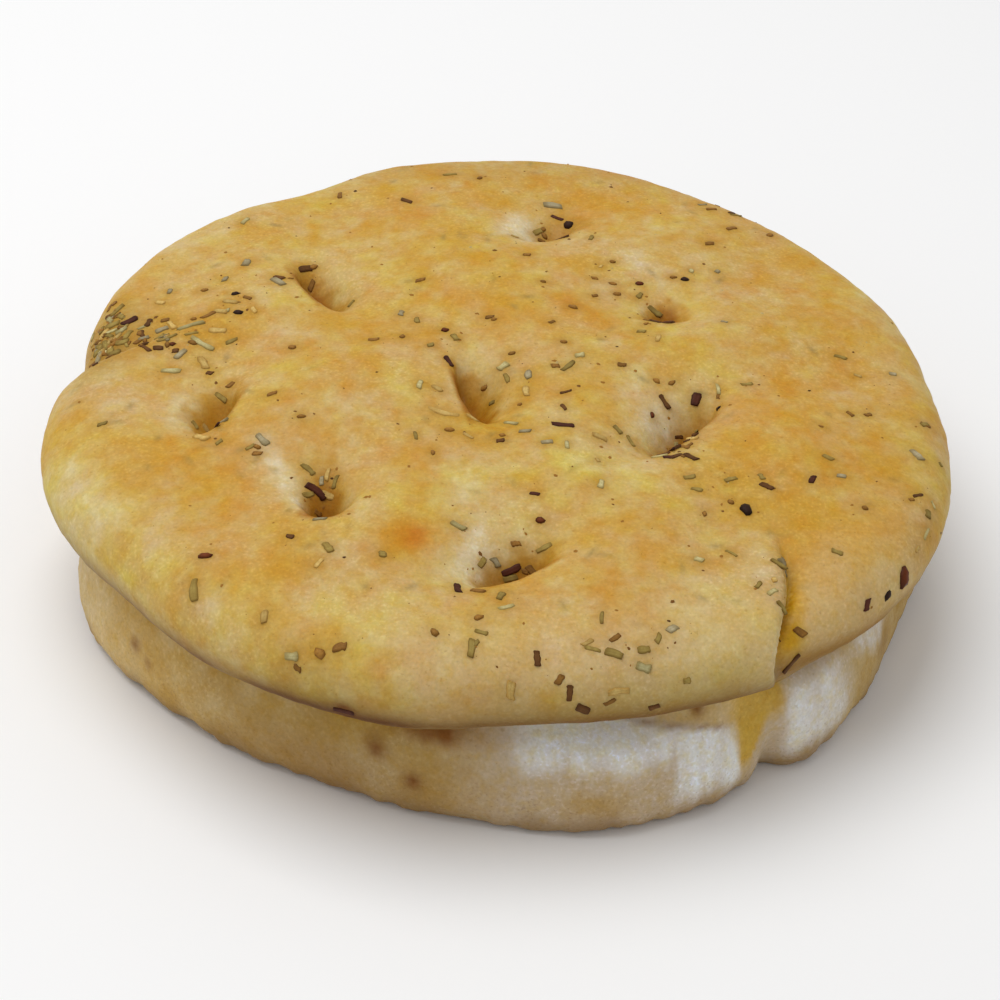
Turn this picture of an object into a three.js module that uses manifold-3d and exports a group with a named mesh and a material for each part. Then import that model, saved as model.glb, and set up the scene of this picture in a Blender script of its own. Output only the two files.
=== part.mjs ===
import * as THREE from "three";
import { mergeVertices } from "three/addons/utils/BufferGeometryUtils.js";
import Module from "manifold-3d";

// A round herbed focaccia for one person: a lid of dough with a rolled rim on a slightly smaller base,
// finger dimples pressed into the top, two folds at the edge and dried herb flakes baked into the crust.
// Millimetres, Z up, origin at the middle of the flat underside.

// The lid: its mean radius at the widest, how far its middle lies off the origin, and its crown.
const LID_RADIUS = 80;
const LID_MIDDLE = [-0.3, -2.4];
const CREST_INSET = 13;
const CREST_HEIGHT = 37.6;
const CROWN = 4;

// The base under the lid, and the groove where the lid's underside meets its wall.
const BASE_RADIUS = 75.5;
const BASE_MIDDLE = [2.9, -1.7];
const GROOVE_UNDER_BASE = 4.5;
const GROOVE_UNDER_LID = 7.5;

// A second layer of dough that fills part of the groove beside the right fold.
const SECOND_LAYER = [{ at: 299, spread: 9, amount: 3 }];

// Where the hand-shaped outline swells or draws in: angle and spread in degrees, amount in millimetres.
const LID_SWELLINGS = [
  { at: 88, spread: 32, amount: 4.2 },
  { at: 122, spread: 9, amount: -2.2 },
  { at: 163, spread: 8, amount: -0.8 },
  { at: 177, spread: 11, amount: -4.0 },
  { at: 199, spread: 12, amount: 0.8 },
  { at: 223, spread: 12, amount: -1.6 },
  { at: 274, spread: 10, amount: -1.9 },
  { at: 288, spread: 9, amount: -1.0 },
  { at: 335, spread: 18, amount: 1.9 },
  { at: 2, spread: 16, amount: -1.2 },
];
const BASE_SWELLINGS = [
  { at: 205, spread: 18, amount: 4.0 },
  { at: 250, spread: 12, amount: -1.2 },
  { at: 286, spread: 12, amount: 3.4 },
  { at: 297.5, spread: 4.5, amount: 1.4 },
  { at: 312, spread: 8, amount: 1.8 },
  { at: 340, spread: 13, amount: -2.4 },
];

// Finger dimples, pressed in at a slant: the middle of each crisp edge, the heading across that edge in
// degrees, width across and half length along it, depth, how far the floor slides under the edge, and the
// depth of the wide hollow around it.
const DIMPLES = [
  { x: -36.0, y: 21.5, heading: 209, width: 11.6, half: 6.6, deep: 7.0, slide: 1.5, hollow: 1.0 },
  { x: 11.0, y: 44.2, heading: 312, width: 12.0, half: 5.0, deep: 3.8, slide: 1.2, hollow: 1.0 },
  { x: 29.0, y: 14.4, heading: 258, width: 7.5, half: 2.9, deep: 4.8, slide: 1.0, hollow: 1.4 },
  { x: -6.9, y: -10.0, heading: 194, width: 10.6, half: 7.0, deep: 7.0, slide: 1.4, hollow: 1.2 },
  { x: 34.0, y: -18.2, heading: 325, width: 10.0, half: 7.9, deep: 7.6, slide: 1.7, hollow: 1.2 },
  { x: -45.9, y: -16.6, heading: 343, width: 10.0, half: 5.2, deep: 5.6, slide: 1.5, hollow: 1.0 },
  { x: -27.5, y: -45.3, heading: 270, width: 13.2, half: 2.9, deep: 9.0, slide: 1.5, hollow: 1.2 },
  { x: 4.6, y: -57.6, heading: 302, width: 9.0, half: 5.7, deep: 7.0, slide: 1.5, hollow: 1.2 },
];

// Folds: a curve from the top out past the rim, given by four pull points. One lobe (side 1 is the left
// of the curve, -1 the right) stands a little over the other, which dips along the fold, creases beside
// it and droops under the rim. The wall below is drawn in to a notch at its own angle.
const FOLDS = [
  {
    path: [[36, -24], [48, -40], [50, -57], [41.5, -78]],
    side: -1, lip: 0.8, dip: 3.0, dipWidth: 9, crease: 1.6, droop: 3.0, soft: 0.7, lean: 1.3, notch: 3.4,
    notchAt: 306.8, begins: 0.36, full: 0.68,
  },
  {
    path: [[-44, 18], [-56, 9], [-68, 1.5], [-86, -9]],
    side: 1, lip: 0.5, dip: 3.2, dipWidth: 10, crease: 0.6, droop: 0, soft: 1.3, lean: 0.6, notch: 2.0,
    notchAt: 182.5, begins: 0.15, full: 0.75,
  },
];
const NOTCH_SPREAD = 2.3;
const NOTCH_TOP = 16;

// Slow waves in the crust: height, and how fast each runs along X and Y.
const WAVES = [
  { high: 0.35, alongX: 0.16, alongY: 0.05, start: 0.8 },
  { high: 0.3, alongX: -0.07, alongY: 0.17, start: 2.1 },
  { high: 0.25, alongX: 0.12, alongY: -0.15, start: 4.0 },
];

// Dried herbs: groups by middle, reach along X and Y and number of pieces, then even scatter over the lid.
const HERB_GROUPS = [
  [-71, 9, 2.6, 10, 50], [-63, 7.5, 7, 5, 30], [-50, 9, 5, 8, 3], [-44, 24, 6, 8, 2],
  [-47.5, -14, 4, 8, 4], [-18, 15, 6, 10, 1], [-4, -8, 5, 9, 2],
  [-28.7, -38, 2.5, 5, 8], [31.5, -20, 5, 4, 10], [36, -7, 9, 6, 5], [8, -11, 8, 12, 2],
  [9.5, 49, 3.5, 4, 6], [29, 22, 8, 14, 4], [43.5, -31, 4, 9, 2], [59, -18, 8, 26, 4],
  [73, -27, 3, 16, 7], [44.5, -57, 2.5, 8, 3], [3.5, -55, 5, 4, 8], [17, -71, 11, 6, 4],
  [-34, -60, 12, 10, 2], [-1, -66, 5, 8, 5], [25, -32, 9, 11, 4], [44, 63, 7, 5, 13],
];
const HERB_SCATTER = { reach: 76, pieces: 36 };
const HERB_LENGTH = 1.95;
const HERB_WIDTH = 0.9;
const HERB_SEED = 41;
const HERBS_IN_RELIEF = 80;

// Pieces that stand out: place, heading in degrees, length and width. A height means it lies on the side.
const LARGE_HERBS = [
  { x: 68.1, y: -46.9, height: 30.9, heading: 55, long: 4.2, wide: 2.3 },
  { x: 65.2, y: -51.2, height: 30.1, heading: 20, long: 2, wide: 1.3 },
  { x: 61, y: -54.3, heading: 60, long: 2, wide: 1.2 },
  { x: 41.5, y: -40, heading: 100, long: 2.8, wide: 2.1 },
  { x: 11.1, y: -21.1, heading: -8, long: 3.9, wide: 1.1 },
  { x: -29.7, y: -35.8, heading: -28, long: 4, wide: 1.5 },
  { x: -9.4, y: -17.8, heading: -16, long: 5.6, wide: 1.1 },
  { x: -55.6, y: 9.2, heading: 14, long: 4.8, wide: 1.4 },
  { x: -53, y: 3.6, heading: -38, long: 5.4, wide: 1.2 },
  { x: 48.4, y: -63.9, height: 26, heading: 55, long: 4.2, wide: 1 },
  { x: 19.4, y: -73.9, heading: -14, long: 2.9, wide: 1.3 },
  { x: -40.9, y: 22.3, heading: -45, long: 3, wide: 1.6 },
  { x: -47.4, y: -61.5, heading: 95, long: 3.8, wide: 1.4 },
  { x: 9.1, y: 57, heading: -8, long: 3.6, wide: 1.8 },
  { x: 12.2, y: 51.5, heading: -10, long: 2.2, wide: 1.8 },
  { x: -46.1, y: -55.5, heading: 10, long: 2.4, wide: 1.5 },
  { x: 3.5, y: -79.5, heading: 85, long: 3, wide: 1.3 },
  { x: -2.7, y: -75, heading: 85, long: 3.2, wide: 1.2 },
  { x: -5.4, y: -61.4, heading: 100, long: 2.8, wide: 1.1 },
  { x: -8.9, y: -2.4, heading: -60, long: 2.8, wide: 1.1 },
  { x: 34.4, y: -7.4, heading: 75, long: 2.4, wide: 1.7 },
  { x: 28.8, y: -9.7, heading: -55, long: 3, wide: 1 },
  { x: 3.1, y: -52.5, heading: 25, long: 3.4, wide: 1.3 },
  { x: 46.9, y: -51.5, heading: -35, long: 2.8, wide: 1.6 },
  { x: 72, y: -19.7, heading: -50, long: 2.6, wide: 1.5 },
  { x: -26.4, y: -54.3, heading: -60, long: 2.4, wide: 1.3 },
  { x: -39.5, y: -26.5, heading: -52, long: 3.2, wide: 1.3 },
  { x: -50, y: -25, heading: -35, long: 3, wide: 1.4 },
  { x: 27.5, y: -26.6, heading: 2, long: 2.8, wide: 0.9 },
  { x: 29.9, y: -23.7, heading: -50, long: 2.6, wide: 1.4 },
  { x: 32.7, y: -27.4, heading: -40, long: 2.6, wide: 1.2 },
  { x: -31.3, y: -32.4, heading: -40, long: 2.8, wide: 1 },
  { x: -28.3, y: -46.7, heading: 0, long: 2.2, wide: 0.9 },
  { x: 27.9, y: 19.9, heading: -35, long: 3, wide: 1.1 },
  { x: 29.9, y: 13.6, heading: -20, long: 2.4, wide: 1.3 },
  { x: -47.9, y: -21.4, heading: -80, long: 2.4, wide: 0.8 },
];

// How finely the solid is drawn.
const TOP_RINGS = 25;
const SIDE_RINGS = 14;
const GATHER = 0.34;
const GATHER_REACH = 11;
const FOLD_ANGLES = [305, 173];
const FOLD_GATHER = 0.45;
const FOLD_REACH = 20;

const AROUND = 6 * TOP_RINGS;
const degrees = (angle) => (angle * Math.PI) / 180;

function smooth(low, high, value) {
  const t = Math.min(1, Math.max(0, (value - low) / (high - low)));
  return t * t * (3 - 2 * t);
}

function bell(distance, reach) {
  return Math.exp(-((distance / reach) ** 2));
}

function swelling(angle, rows) {
  let total = 0;
  for (const row of rows) {
    let away = (angle - degrees(row.at)) % (2 * Math.PI);
    if (away > Math.PI) away -= 2 * Math.PI;
    if (away < -Math.PI) away += 2 * Math.PI;
    total += row.amount * bell(away, degrees(row.spread));
  }
  return total;
}

function lidRadius(angle) {
  const offset = LID_MIDDLE[0] * Math.cos(angle) + LID_MIDDLE[1] * Math.sin(angle);
  return LID_RADIUS + offset + swelling(angle, LID_SWELLINGS);
}

function baseRadius(angle) {
  const offset = BASE_MIDDLE[0] * Math.cos(angle) + BASE_MIDDLE[1] * Math.sin(angle);
  return BASE_RADIUS + offset + swelling(angle, BASE_SWELLINGS);
}

// The side's profile at one angle, from the flat underside out round the base's foot, up its wall, in
// to the groove, out under the lid and over its rolled rim to the crest.
function profile(angle) {
  const base = baseRadius(angle);
  const lid = lidRadius(angle);
  const groove = Math.min(base - GROOVE_UNDER_BASE, lid - GROOVE_UNDER_LID) + swelling(angle, SECOND_LAYER);
  return [
    [base - 5.5, 0],
    [base - 1.8, 0.5],
    [base, 4],
    [base - 0.4, 10],
    [base - 2.2, 16],
    [groove, 20.2],
    [lid - 4.6, 21.4],
    [lid - 1, 24.6],
    [lid, 29],
    [lid - 1.8, 33.2],
    [lid - 6.2, 36.2],
    [lid - CREST_INSET, CREST_HEIGHT],
  ];
}

// A point on the profile: share 0 at the underside's edge and 1 at the crest, on a smooth curve.
function onProfile(angle, share) {
  const points = profile(angle);
  const last = points.length - 1;
  const step = Math.min(last - 1, Math.floor(share * last));
  const t = share * last - step;
  const at = (i) => points[Math.min(last, Math.max(0, i))];
  const curve = (k) => {
    const [a, b, c, d] = [at(step - 1)[k], at(step)[k], at(step + 1)[k], at(step + 2)[k]];
    const square = 2 * a - 5 * b + 4 * c - d;
    const cube = 3 * b - a - 3 * c + d;
    return 0.5 * (2 * b + (c - a) * t + square * t ** 2 + cube * t ** 3);
  };
  return [curve(0), curve(1)];
}

// Points of the smooth loaf, each with its share along the profile (above 1 on top), and its triangles.
const points = [];
const shares = [];
const triangles = [];

// An angle drawn towards the folds, where the loaf needs finer steps.
function gathered(angle, part) {
  let drawn = angle;
  for (const fold of FOLD_ANGLES) {
    const away = angle - degrees(fold);
    drawn -= away * FOLD_GATHER * part ** 2 * bell(away, degrees(FOLD_REACH));
  }
  return drawn;
}

function addTopPoint(angle, part) {
  const crest = part * (lidRadius(angle) - CREST_INSET);
  let x = crest * Math.cos(angle);
  let y = crest * Math.sin(angle);
  if (part < 0.999) {
    for (const d of DIMPLES) {
      const pull = GATHER * bell(Math.hypot(x - d.x, y - d.y), GATHER_REACH);
      x += (d.x - x) * pull * (1 - part ** 6);
      y += (d.y - y) * pull * (1 - part ** 6);
    }
  }
  const reach = Math.hypot(x, y) / (lidRadius(Math.atan2(y, x)) - CREST_INSET);
  points.push([x, y, CREST_HEIGHT + CROWN * (1 - reach ** 2)]);
  shares.push(2 - reach);
}

const ringStart = [];
for (let ring = 0; ring <= TOP_RINGS; ring++) {
  ringStart.push(points.length);
  const count = Math.max(1, 6 * ring);
  const part = ring / TOP_RINGS;
  for (let i = 0; i < count; i++) addTopPoint(gathered((2 * Math.PI * i) / count, part), part);
}

for (let ring = 0; ring < TOP_RINGS; ring++) {
  const inner = (i) => ringStart[ring] + (i % Math.max(1, 6 * ring));
  const outer = (i) => ringStart[ring + 1] + (i % (6 * (ring + 1)));
  for (let sector = 0; sector < 6; sector++) {
    for (let i = 0; i <= ring; i++) {
      const o = sector * (ring + 1) + i;
      const n = sector * ring + i;
      triangles.push([inner(n), outer(o), outer(o + 1)]);
      if (i < ring) triangles.push([inner(n), outer(o + 1), inner(n + 1)]);
    }
  }
}

let above = ringStart[TOP_RINGS];
for (let ring = SIDE_RINGS - 1; ring >= 0; ring--) {
  const start = points.length;
  for (let i = 0; i < AROUND; i++) {
    const angle = gathered((2 * Math.PI * i) / AROUND, 1);
    const [radius, height] = onProfile(angle, ring / SIDE_RINGS);
    points.push([radius * Math.cos(angle), radius * Math.sin(angle), height]);
    shares.push(ring / SIDE_RINGS);
  }
  for (let i = 0; i < AROUND; i++) {
    const next = (i + 1) % AROUND;
    triangles.push([above + i, start + i, start + next], [above + i, start + next, above + next]);
  }
  above = start;
}

const underside = points.length;
points.push([0, 0, 0]);
shares.push(-1);
for (let i = 0; i < AROUND; i++) triangles.push([above + i, underside, above + ((i + 1) % AROUND)]);

function loafGeometry() {
  const geometry = new THREE.BufferGeometry();
  geometry.setAttribute("position", new THREE.BufferAttribute(new Float32Array(points.flat()), 3));
  geometry.setIndex(triangles.flat());
  geometry.computeVertexNormals();
  return geometry;
}

// A fold's curve as short straight steps.
function foldSteps(fold) {
  const [a, b, c, d] = fold.path;
  const steps = [];
  for (let i = 0; i <= 40; i++) {
    const t = i / 40;
    const weights = [(1 - t) ** 3, 3 * t * (1 - t) ** 2, 3 * t * t * (1 - t), t ** 3];
    const mix = (k) => weights[0] * a[k] + weights[1] * b[k] + weights[2] * c[k] + weights[3] * d[k];
    steps.push([mix(0), mix(1)]);
  }
  return steps;
}

// How far a place lies from a fold, positive on its left, and how far along the fold it is.
function fromFold(x, y, steps) {
  let best = { away: Infinity, left: 1, along: 0 };
  for (let i = 0; i + 1 < steps.length; i++) {
    const [ax, ay] = steps[i];
    const dx = steps[i + 1][0] - ax;
    const dy = steps[i + 1][1] - ay;
    const t = Math.min(1, Math.max(0, ((x - ax) * dx + (y - ay) * dy) / (dx * dx + dy * dy)));
    const px = x - ax - t * dx;
    const py = y - ay - t * dy;
    const away = Math.hypot(px, py);
    const left = Math.sign(dx * py - dy * px) || 1;
    const along = (i + t) / (steps.length - 1);
    if (away < best.away) best = { away, left, along };
  }
  return best;
}

const normals = loafGeometry().getAttribute("normal");
const foldCurves = FOLDS.map(foldSteps);

// Presses the dimples, folds and waves into the smooth loaf.
points.forEach((point, index) => {
  const [x, y, height] = point;
  const share = shares[index];
  const normal = [normals.getX(index), normals.getY(index), normals.getZ(index)];
  const onTop = smooth(0.55, 0.9, share);
  const onLid = smooth(0.4, 0.5, share);
  const push = (amount) => normal.forEach((n, k) => (point[k] += n * amount));

  for (const d of DIMPLES) {
    const [aheadX, aheadY] = [Math.cos(degrees(d.heading)), Math.sin(degrees(d.heading))];
    const setBack = Math.min(4, 0.3 * d.width);
    const [dx, dy] = [x - d.x + setBack * aheadX, y - d.y + setBack * aheadY];
    const ahead = dx * aheadX + dy * aheadY;
    const aside = dy * aheadX - dx * aheadY;
    const reach = ahead > 0 ? setBack / 1.28 : (d.width - setBack) / 1.94;
    const out = Math.hypot(ahead / reach, aside / d.half);
    const crisp = smooth(-0.5, 0.8, ahead / (Math.hypot(ahead, aside) + 1e-6));
    const well = onTop / (1 + out ** (3 + 5.5 * crisp));
    point[0] += d.slide * aheadX * well;
    point[1] += d.slide * aheadY * well;
    point[2] -= d.deep * well + d.hollow * onTop * bell(out, 2.6);
  }

  FOLDS.forEach((fold, f) => {
    const steps = foldCurves[f];
    const { away, left, along } = fromFold(x, y, steps);
    const off = away * left * fold.side;
    const grown = smooth(fold.begins, fold.full, along) * onLid;
    const over = 0.5 * (1 + Math.tanh(off / fold.soft));
    const highRim = smooth(0.55, 0.85, share);
    const onRim = smooth(0.5, 0.68, share);
    const fade = Math.exp(-((Math.abs(off) / fold.dipWidth) ** 1.5));
    const dip = fold.dip * (1 - over) * fade * (0.3 + 0.7 * highRim);
    const lip = fold.lip * over * bell(off, 6) * onRim;
    const crease = fold.crease * bell(off + 1, 1.3) * highRim;
    push((lip - dip - crease) * grown);
    point[2] -= fold.droop * grown * (1 - over) * bell(off, 8) * bell(share - 0.53, 0.08);
    const [start, end] = [steps[0], steps[steps.length - 1]];
    const length = Math.hypot(end[0] - start[0], end[1] - start[1]);
    const lean = fold.lean * grown * bell(off - 0.6, 2) * fold.side * onRim;
    point[0] += (lean * (end[1] - start[1])) / length;
    point[1] -= (lean * (end[0] - start[0])) / length;
    if (share >= 0) {
      const onWall = (1 - onLid) * smooth(NOTCH_TOP, 2, height);
      const drawnIn = { at: fold.notchAt, spread: NOTCH_SPREAD, amount: fold.notch };
      const notch = onWall * swelling(Math.atan2(y, x), [drawnIn]);
      point[0] -= (notch * x) / Math.hypot(x, y);
      point[1] -= (notch * y) / Math.hypot(x, y);
    }
  });

  let wave = 0;
  for (const w of WAVES) wave += w.high * Math.sin(w.alongX * x + w.alongY * y + w.start);
  push(wave * (0.25 * smooth(0.1, 0.2, share) + 0.75 * smooth(0.85, 1.1, share)));
});

const crust = new THREE.MeshStandardMaterial({ color: 0xc9a05a, roughness: 0.6, metalness: 0 });
const loaf = new THREE.Mesh(loafGeometry(), crust);

// Even draws from 0 to 1 that come out the same every time.
function seeded(seed) {
  let state = seed;
  return () => {
    state = (Math.imul(state, 1664525) + 1013904223) >>> 0;
    return state / 4294967296;
  };
}

// Every herb piece with its place, heading and size, the large ones first.
function herbPieces() {
  const draw = seeded(HERB_SEED);
  const pieces = [];
  const addPiece = (x, y) => {
    const heading = 180 * draw();
    const long = HERB_LENGTH * (0.5 + 0.9 * draw());
    const wide = HERB_WIDTH * (0.65 + 0.7 * draw());
    pieces.push({ x, y, heading, long, wide });
  };
  for (const [x, y, reachX, reachY, count] of HERB_GROUPS) {
    for (let i = 0; i < count; i++) {
      const right = draw() + draw() - 1;
      const back = draw() + draw() - 1;
      addPiece(x + 1.3 * reachX * right, y + 1.3 * reachY * back);
    }
  }
  for (let i = 0; i < HERB_SCATTER.pieces; i++) {
    const radius = HERB_SCATTER.reach * Math.sqrt(draw());
    const angle = 2 * Math.PI * draw();
    addPiece(radius * Math.cos(angle), radius * Math.sin(angle));
  }
  pieces.sort((a, b) => b.long * b.wide - a.long * a.wide);
  return [...LARGE_HERBS, ...pieces];
}

// A five-sided sliver of herb lying on the crust, partly sunk in it.
function herbGeometry(piece) {
  const ray = new THREE.Raycaster();
  const out = new THREE.Vector3(piece.x, piece.y, 0).normalize();
  if (piece.height) ray.set(out.clone().multiplyScalar(120).setZ(piece.height), out.clone().negate());
  else ray.set(new THREE.Vector3(piece.x, piece.y, 120), new THREE.Vector3(0, 0, -1));
  const [hit] = ray.intersectObject(loaf);
  if (!hit) return null;
  const up = hit.face.normal;
  const along = up.z > 0.5 ? new THREE.Vector3(1, 0, 0) : new THREE.Vector3(-up.y, up.x, 0);
  along.addScaledVector(up, -along.dot(up)).normalize().applyAxisAngle(up, degrees(piece.heading));
  const across = new THREE.Vector3().crossVectors(up, along);
  const sliver = new THREE.CylinderGeometry(piece.wide / 2, piece.wide / 2, piece.long, 5);
  sliver.rotateZ(Math.PI / 2);
  sliver.applyMatrix4(new THREE.Matrix4().makeBasis(along, across, up).setPosition(hit.point));
  return sliver;
}

const wasm = await Module();
wasm.setup();

function solidOf(geometry) {
  const bare = geometry.clone();
  bare.deleteAttribute("normal");
  bare.deleteAttribute("uv");
  const merged = mergeVertices(bare, 1e-4);
  const vertProperties = new Float32Array(merged.getAttribute("position").array);
  const triVerts = new Uint32Array(merged.index.array);
  return new wasm.Manifold(new wasm.Mesh({ numProp: 3, vertProperties, triVerts }));
}

let whole = solidOf(loaf.geometry);
for (const piece of herbPieces().slice(0, HERBS_IN_RELIEF)) {
  const sliver = herbGeometry(piece);
  if (sliver) whole = whole.add(solidOf(sliver));
}

const joined = whole.getMesh();
const geometry = new THREE.BufferGeometry();
geometry.setAttribute("position", new THREE.BufferAttribute(new Float32Array(joined.vertProperties), 3));
geometry.setIndex(new THREE.BufferAttribute(new Uint32Array(joined.triVerts), 1));
geometry.computeVertexNormals();

const focaccia = new THREE.Mesh(geometry, crust);
focaccia.name = "focaccia";

const group = new THREE.Group();
group.name = "focaccia_part";
group.add(focaccia);

export default group;
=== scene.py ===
# %% [markdown]
# A round herbed focaccia. The imported part comes in first, because it fixes where the bread stands and how large
# it is. Everything below is drawn in that same frame.

# %% Load the frame
import math

import bpy
import numpy as np
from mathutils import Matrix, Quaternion, Vector
from mathutils.bvhtree import BVHTree


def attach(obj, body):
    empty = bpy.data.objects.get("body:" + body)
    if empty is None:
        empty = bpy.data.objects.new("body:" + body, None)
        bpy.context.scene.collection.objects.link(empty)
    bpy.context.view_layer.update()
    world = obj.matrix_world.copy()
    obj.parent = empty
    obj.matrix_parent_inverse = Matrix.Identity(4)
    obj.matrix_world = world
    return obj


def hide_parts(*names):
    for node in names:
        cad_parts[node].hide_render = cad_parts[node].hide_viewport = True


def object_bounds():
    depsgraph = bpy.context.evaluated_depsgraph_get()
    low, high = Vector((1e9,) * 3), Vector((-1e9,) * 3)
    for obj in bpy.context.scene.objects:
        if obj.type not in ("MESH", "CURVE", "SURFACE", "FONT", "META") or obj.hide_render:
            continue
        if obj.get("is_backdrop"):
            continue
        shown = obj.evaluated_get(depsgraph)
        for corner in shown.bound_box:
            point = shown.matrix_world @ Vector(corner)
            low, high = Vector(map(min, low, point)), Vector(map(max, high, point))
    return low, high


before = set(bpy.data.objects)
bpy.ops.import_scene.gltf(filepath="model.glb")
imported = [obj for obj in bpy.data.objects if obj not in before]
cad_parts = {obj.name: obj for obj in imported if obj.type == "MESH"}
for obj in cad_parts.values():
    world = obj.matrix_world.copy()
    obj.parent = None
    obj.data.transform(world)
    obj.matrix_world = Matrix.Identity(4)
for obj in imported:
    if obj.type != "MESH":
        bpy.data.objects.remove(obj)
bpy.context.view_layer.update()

# %% [markdown]
# The bread is modelled in millimetres and turned into metres only when a mesh is made. A few small helpers
# serve all through: easing, to fade one thing into another, a smooth noise for anything uneven, and draws of
# numbers that come out the same on every run. Blender has noise of its own, but a noise on whole arrays is quick
# for a hundred thousand points.

# %% Easing, noise and steady draws
MM = 0.001


def ease(low, high, value):
    """A soft step from 0 at the low level to 1 at the high one."""
    t = np.clip((value - low)/(high - low), 0.0, 1.0)
    return t*t*(3 - 2*t)


def within(value, low, full_low, full_high, high):
    """1 between the two full levels, fading to 0 at the outer ones."""
    return ease(low, full_low, value)*ease(high, full_high, value)


def bell(distance, reach):
    return np.exp(-(distance/reach)**2)


def noise(places, size, seed=0.0):
    """Uneven numbers from -1 to 1 that change over about one size."""
    at = np.asarray(places, float)/size
    cell = np.floor(at)
    t = at - cell
    t = t*t*(3 - 2*t)
    total = np.zeros(len(at))
    for corner in range(8):
        step = np.array([corner & 1, corner >> 1 & 1, corner >> 2 & 1])
        weight = np.prod(np.where(step, t, 1 - t), axis=1)
        jumbled = np.sin((cell + step) @ np.array([12.9898, 78.233, 37.719]) + seed*5.17)*43758.5453
        total += weight*(jumbled - np.floor(jumbled))
    return 2*total - 1


def steady_draws(seed):
    """A function that gives the same run of even numbers from 0 to 1 every time."""
    state = [seed]

    def draw():
        state[0] = (state[0]*1664525 + 1013904223) % 4294967296
        return state[0]/4294967296
    return draw


def even_spot(reach, draw):
    """A place drawn evenly from a disc about the middle."""
    radius, turned = reach*math.sqrt(draw()), 2*math.pi*draw()
    return radius*math.cos(turned), radius*math.sin(turned)


print("noise at the middle:", noise([[0.3, 0.4, 0.5]], 1.0).round(3))

# %% [markdown]
# Seen from above the bread is nearly a circle, but a hand shaped it, so its edge swells and draws in. It has
# two outlines: a lid that spread over the top, and a base that rose a little less. Each is a mean radius about
# its own middle with a few soft swellings by angle. A drawn curve would do as well, but named swellings are
# easy to read and to change one at a time.

# %% Outlines of lid and base
# mean radius, middle x and y, and swellings: at degrees, spread, amount
LID = 80.0, -0.3, -2.4, [
    (88, 32, 4.2), (122, 9, -2.2), (163, 8, -0.8), (177, 11, -4), (199, 12, 0.8), (223, 12, -1.6),
    (274, 10, -1.9), (288, 9, -1), (335, 18, 1.9), (2, 16, -1.2),
]
BASE = 75.5, 2.9, -1.7, [
    (205, 18, 4), (250, 12, -1.2), (286, 12, 3.4), (297.5, 4.5, 1.4), (312, 8, 1.8), (340, 13, -2.4),
]


def turn_between(angle, degrees):
    """How far an angle lies from a heading in degrees, the short way round, in degrees."""
    return (np.degrees(angle) - degrees + 180) % 360 - 180


def edge_of(outline, angle):
    radius, x, y, swellings = outline
    edge = radius + x*np.cos(angle) + y*np.sin(angle)
    for at, spread, amount in swellings:
        edge = edge + amount*bell(turn_between(angle, at), spread)
    return edge


circle = np.linspace(0, 2*np.pi, 361)
print("lid edge from", edge_of(LID, circle).min().round(1), "to", edge_of(LID, circle).max().round(1), "mm")

# %% [markdown]
# Cut from the middle to the edge, the side runs out from the flat underside, round the foot, up a slightly
# bulging wall, in to a groove, then out and over the rolled rim of the lid to its crest. Twelve points follow
# that line at any angle, and a smooth curve through them gives as many rings as the mesh needs.

# %% The side's profile
CREST_INSET, CREST_HEIGHT, CROWN = 13.0, 37.6, 4.0
# a second layer of dough that fills part of the groove beside the right fold: angle, spread, amount
SECOND_LAYER = (299, 9, 3.0)


def profile(angle):
    base, lid = edge_of(BASE, angle), edge_of(LID, angle)
    filled = SECOND_LAYER[2]*bell(turn_between(angle, SECOND_LAYER[0]), SECOND_LAYER[1])
    groove = np.minimum(base - 4.5, lid - 7.5) + filled
    line = [(base - 5.5, 0.0), (base - 1.8, 0.5), (base, 4.0), (base - 0.4, 10.0), (base - 2.2, 16.0),
            (groove, 20.2), (lid - 4.6, 21.4), (lid - 1.0, 24.6), (lid, 29.0), (lid - 1.8, 33.2),
            (lid - 6.2, 36.2), (lid - CREST_INSET, CREST_HEIGHT)]
    return [np.stack([radius, np.full_like(angle, height)]) for radius, height in line]


def on_profile(angle, share):
    """Radius and height at a share of the way from the underside's edge, 0, to the crest, 1."""
    line = profile(angle)
    last = len(line) - 1
    step = min(int(share*last), last - 1)
    t = share*last - step
    a, b, c, d = (line[min(max(i, 0), last)] for i in range(step - 1, step + 3))
    return 0.5*(2*b + (c - a)*t + (2*a - 5*b + 4*c - d)*t**2 + (3*b - a - 3*c + d)*t**3)


print("the rim is widest at a height of", on_profile(circle, 8/11)[1].max().round(1), "mm")

# %% [markdown]
# The mesh starts as a smooth loaf. A grid of squares would have bad corners on a round bread, and a fan of
# long slices would crowd its middle, so the top is made of rings that each have six more points than the last.
# That keeps every triangle about the same size. The outermost ring carries on down the side and under.

# %% Rings of the smooth loaf
RINGS, SIDE_RINGS, UNDER_RINGS = 118, 64, 6
AROUND = 6*RINGS


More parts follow.
